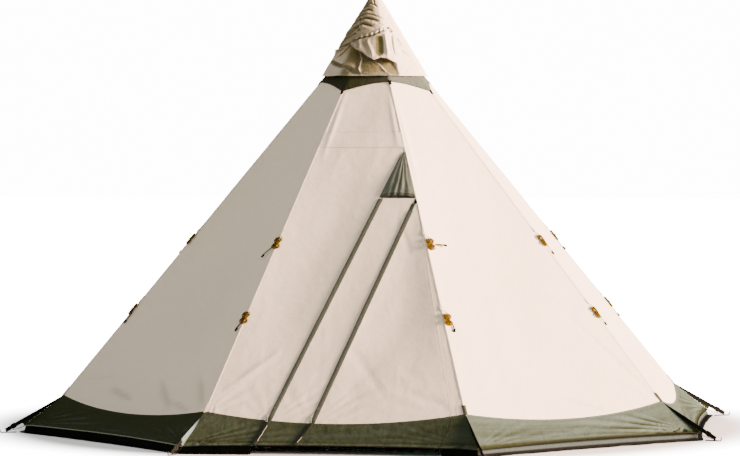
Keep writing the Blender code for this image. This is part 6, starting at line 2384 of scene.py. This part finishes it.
    def build_eyelets(self) -> None:
        """Small dark eyelets on the drawn line."""
        for index, degrees in enumerate((-33, -27, -16, -8, 2, 12, 38, 44)):
            azimuth = math.radians(degrees)
            share = self.follow(self.draw_line, degrees) - (0.012 if degrees < 30 else 0.05 * (index % 2))
            folds = self.folds(share, degrees, True, True)
            bend = self.relief(share, degrees, folds)
            radius = self.settle(share, self.cone(share, azimuth) + bend) + 0.004
            start_clean()
            bpy.ops.mesh.primitive_torus_add(major_segments=20, minor_segments=8, major_radius=0.0052,
                                             minor_radius=0.002)
            item = named(f"cap_eyelet_{index}")
            out = (FORM.bearing(azimuth / FORM.step) * 0.857 + UP * 0.515).normalized()
            place = FORM.bearing(azimuth / FORM.step) * radius
            place += UP * blend(self.hem_height, self.tip_height, share)
            item.data.transform(Matrix.Translation(place) @ facing(out))
            smooth(item, 60)
            dress(item, self.finishes.plastic, Place.CAP, slot="black_plastic")


@dataclass
class Crown:
    """The dark collar under the cap with its tabs, and the net with its ribs up to the hub."""

    finishes: Finishes
    collar_top: float = 0.27
    high: float = 0.372
    low: float = 0.425
    arch: float = 0.01
    net_gap: float = 0.0014
    net_top: float = 0.075
    net_foot: float = 0.366
    rib_half: float = 0.012

    def collar_foot(self, corner: int, share: float) -> float:
        """Radius of the collar's foot between a corner and the next."""
        start = self.low if corner % 2 else self.high
        end = self.high if corner % 2 else self.low
        return blend(start, end, share) - self.arch * math.sin(math.pi * share)

    def ring_point(self, corner: int, share: float, radius: float, lift: float) -> Vector:
        """A point between a corner and the next.

        Args:
            corner: the corner.
            share: 0 to 1 towards the next one.
            radius: the level.
            lift: height off the walls.

        Returns:
            The point.
        """
        if share <= 0.0001:
            return FORM.corner(corner, radius, lift)
        if share >= 0.9999:
            return FORM.corner(corner + 1, radius, lift)
        return FORM.point(corner + 1, blend(-FORM.sin_half, FORM.sin_half, share) * radius, radius, lift)

    def build(self) -> None:
        """Builds and dresses the collar, its tabs, the net and the ribs."""
        steps = 20
        columns, rows = FORM.sides * steps, 26

        def knot(i: int, j: int) -> Knot:
            """The cloth's point at a column and a row."""
            corner, inside = divmod(i % columns, steps)
            share = inside / steps
            foot = self.collar_foot(corner, share)
            radius = blend(self.collar_top, foot, j / rows)
            fall = j / rows
            angle = 2 * math.pi * i / columns
            wave = 0.0022 * ripple(4 * math.cos(angle), 4 * math.sin(angle), fall * 3.0)
            wave += 0.0016 * ripple(11 * math.cos(angle), 11 * math.sin(angle), fall * 5.0)
            hem = 0.001 * smooth_step(0.88, 0.9, fall)
            lift = 0.0023 + 0.0018 + max(wave, -0.0015) * math.sin(math.pi * min(fall * 1.1, 1.0)) + hem
            # painted light on the collar's sunlit side: full over corners 0 and 1, growing across corner 7
            dust_and_painted_light = 1.0 if corner in (0, 1) else 0.25 * share * (corner == FORM.sides - 1)
            return Knot(self.ring_point(corner, share, radius, lift), i / columns * 2.2, -radius * FORM.slope,
                        (foot - radius) * FORM.slope, dust_and_painted_light)

        collar = lay_cloth("collar_cloth", columns, rows, knot, 0.0018, closed=True)
        dress(collar, self.finishes.cloths["collar"], Place.TENT, "vent_collar", slot="trim_cloth")
        span = 8 * 2 * FORM.sin_half
        length = (self.low - self.collar_top) * FORM.slope
        mean = 0.5 * (self.low + self.high) - self.arch * 0.64
        area = span * 0.5 * (self.collar_top + mean) * (mean - self.collar_top) * FORM.slope
        declare(collar, span * self.low, length, "stretched", area, ["wall_back"])
        for corner in range(FORM.sides):
            self.build_tab(corner)
        self.build_net()

    def build_tab(self, corner: int) -> None:
        """A webbing tab under the collar's foot on a corner."""
        half, length = 0.009, 0.034
        start = self.collar_foot(corner, 0.0) - 0.008
        tab = corner_strip(f"collar_tab_{CORNERS[corner]}", corner, half, start, length, (4, 12),
                           lambda share: 0.0064 - 0.0016 * smooth_step(0.3, 0.7, share), 0.0014)
        dress(tab, self.finishes.webbing, Place.TENT, slot="webbing")
        declare(tab, 2 * half, length, "stretched", None, ["vent_collar"])

    def build_net(self) -> None:
        """The net from the walls' top up to the crown, with a rib of webbing on each corner."""
        steps = 8
        columns, rows = FORM.sides * steps, 30
        lift = -(FORM.cloth + self.net_gap)

        def knot(i: int, j: int) -> Knot:
            """The cloth's point at a column and a row."""
            corner, inside = divmod(i % columns, steps)
            radius = blend(self.net_top, self.net_foot, j / rows)
            share = inside / steps
            sag = 0.004 * math.sin(math.pi * share) * math.sin(math.pi * j / rows)
            place = self.ring_point(corner, share, radius, lift - sag)
            return Knot(place, i / columns * 1.9, -radius * FORM.slope, 1.0)

        net = lay_cloth("vent_net_cloth", columns, rows, knot, 0.0008, closed=True)
        dress(net, self.finishes.net, Place.TENT, "vent_net", slot="net")
        length = (self.net_foot - self.net_top) * FORM.slope
        around = 16 * FORM.sin_half * self.net_foot
        declare(net, around, length, "stretched", 0.6 * around * length, ["crown_hub"])
        for corner in range(FORM.sides):
            rib = corner_strip(f"crown_rib_{CORNERS[corner]}", corner, self.rib_half, self.net_top, length,
                               (6, 24), lambda share: -0.0028, 0.0028, cut=self.net_top * FORM.slope)
            dress(rib, self.finishes.webbing, Place.TENT, slot="webbing")
            declare(rib, 2 * self.rib_half, length, "stretched", None, ["crown_hub"])


@dataclass
class Hardware:
    """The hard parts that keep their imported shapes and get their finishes."""

    finishes: Finishes

    def build(self) -> None:
        """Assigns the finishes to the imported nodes."""
        chosen = {
            self.finishes.steel: ("pole_lower_tube", "pole_upper_tube"),
            self.finishes.zinc: ("zip_slider_left", "zip_slider_right"),
            self.finishes.plastic: ("cap_stem", "crown_hub", "pole_clamp", "clamp_lever"),
            self.finishes.rubber: ("pole_foot",),
        }
        for material, nodes in chosen.items():
            for node in nodes:
                item = bpy.data.objects[node]
                for slot in item.material_slots:
                    slot.material = material
                if not item.material_slots:
                    item.data.materials.append(material)
                LOG.info("finish on %s", node)


@dataclass
class Studio:
    """The camera at the photograph's view, the pale floor and the soft lights."""

    distance: float = 23.29
    azimuth: float = 7.28
    height: float = 2.077
    turn_left: float = 0.08
    pitch: float = 1.91
    focal_pixels: float = 3519.8
    image_width: int = 740
    sensor: float = 36.0
    sun: float = 60.0
    sun_azimuth: float = 87.0
    sun_elevation: float = 6.5
    sun_spread: float = 24.0
    sun_colour: Colour = (1.0, 0.67, 0.53)
    sky: float = 0.83
    white: float = 18.0
    fade_start: float = 2.33
    fade_end: float = 3.0

    def build_camera(self) -> None:
        """Places the camera."""
        data = bpy.data.cameras.new("camera")
        data.sensor_width = self.sensor
        data.lens = self.focal_pixels * self.sensor / self.image_width
        data.clip_end = 200.0
        camera = bpy.data.objects.new("camera", data)
        bpy.context.collection.objects.link(camera)
        turn = math.radians(self.azimuth)
        camera.location = (self.distance * math.sin(turn), -self.distance * math.cos(turn), self.height)
        heading = turn + math.radians(self.turn_left)
        camera.rotation_euler = (math.radians(90 - self.pitch), 0.0, heading)
        bpy.context.scene.camera = camera

    def build_stage(self) -> None:
        """A plain pale floor that is softly darker under the tent and fades to white round it."""
        start_clean()
        bpy.ops.mesh.primitive_plane_add(size=2.0, location=(0, 0, -0.0005))
        floor = named("floor")
        floor.data.transform(Matrix.Diagonal((60.0, 60.0, 1.0, 1.0)))
        material, sheet, shader = begin("pale floor")
        place = sheet.place()
        grain = sheet.times(sheet.noise(place, 3.0, 4.0), 0.1)
        base = sheet.mix(grain, paint((0.9, 0.9, 0.895)), paint((0.82, 0.82, 0.81)))
        reach = sheet.add("ShaderNodeVectorMath", operation="LENGTH")
        sheet.put(reach.inputs[0], place)
        fade = sheet.ramp(reach.outputs["Value"], self.fade_start, self.fade_end)
        seen = sheet.add("ShaderNodeLightPath").outputs["Is Camera Ray"]
        sheet.fill(shader, Base_Color=base, Roughness=0.7, Emission_Color=(1.0, 1.0, 1.0, 1.0),
                   Emission_Strength=sheet.times(sheet.times(fade, seen), self.white))
        floor.data.materials.append(material)

    def build_lights(self) -> None:
        """A broad warm key light low on the right, an even sky, and a white ground behind the tent."""
        world = bpy.data.worlds.new("sky")
        world.use_nodes = True
        sheet = Sheet(world.node_tree)
        sky = world.node_tree.nodes["Background"]
        sheet.fill(sky, Color=(1.0, 1.0, 1.0, 1.0), Strength=self.sky)
        ground = sheet.fill(sheet.add("ShaderNodeBackground"), Strength=self.white)
        chosen = sheet.add("ShaderNodeMixShader")
        sheet.put(chosen.inputs[0], sheet.add("ShaderNodeLightPath").outputs["Is Camera Ray"])
        world.node_tree.links.new(sky.outputs[0], chosen.inputs[1])
        world.node_tree.links.new(ground.outputs[0], chosen.inputs[2])
        world.node_tree.links.new(chosen.outputs[0], world.node_tree.nodes["World Output"].inputs["Surface"])
        bpy.context.scene.world = world
        data = bpy.data.lights.new("key", "SUN")
        data.energy = self.sun
        data.angle = math.radians(self.sun_spread)
        data.color = self.sun_colour
        key = bpy.data.objects.new("key", data)
        azimuth, elevation = math.radians(self.sun_azimuth), math.radians(self.sun_elevation)
        source = Vector((math.cos(elevation) * math.sin(azimuth), -math.cos(elevation) * math.cos(azimuth),
                         math.sin(elevation)))
        key.rotation_euler = source.to_track_quat("Z", "Y").to_euler()
        bpy.context.collection.objects.link(key)


def main() -> None:
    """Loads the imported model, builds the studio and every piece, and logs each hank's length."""
    logging.basicConfig(level=logging.INFO, format="%(message)s")
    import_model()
    studio = Studio()
    studio.build_camera()
    studio.build_stage()
    studio.build_lights()
    finishes = Finishes()
    Guylines(finishes).build()
    CornerStraps(finishes).build()
    walls = Walls(finishes)
    walls.build()
    skirts = Skirts(finishes)
    skirts.build()
    Door(finishes, skirts, walls).build()
    Crown(finishes).build()
    VentCap(finishes).build()
    Hardware(finishes).build()


if __name__ == "__main__":
    main()
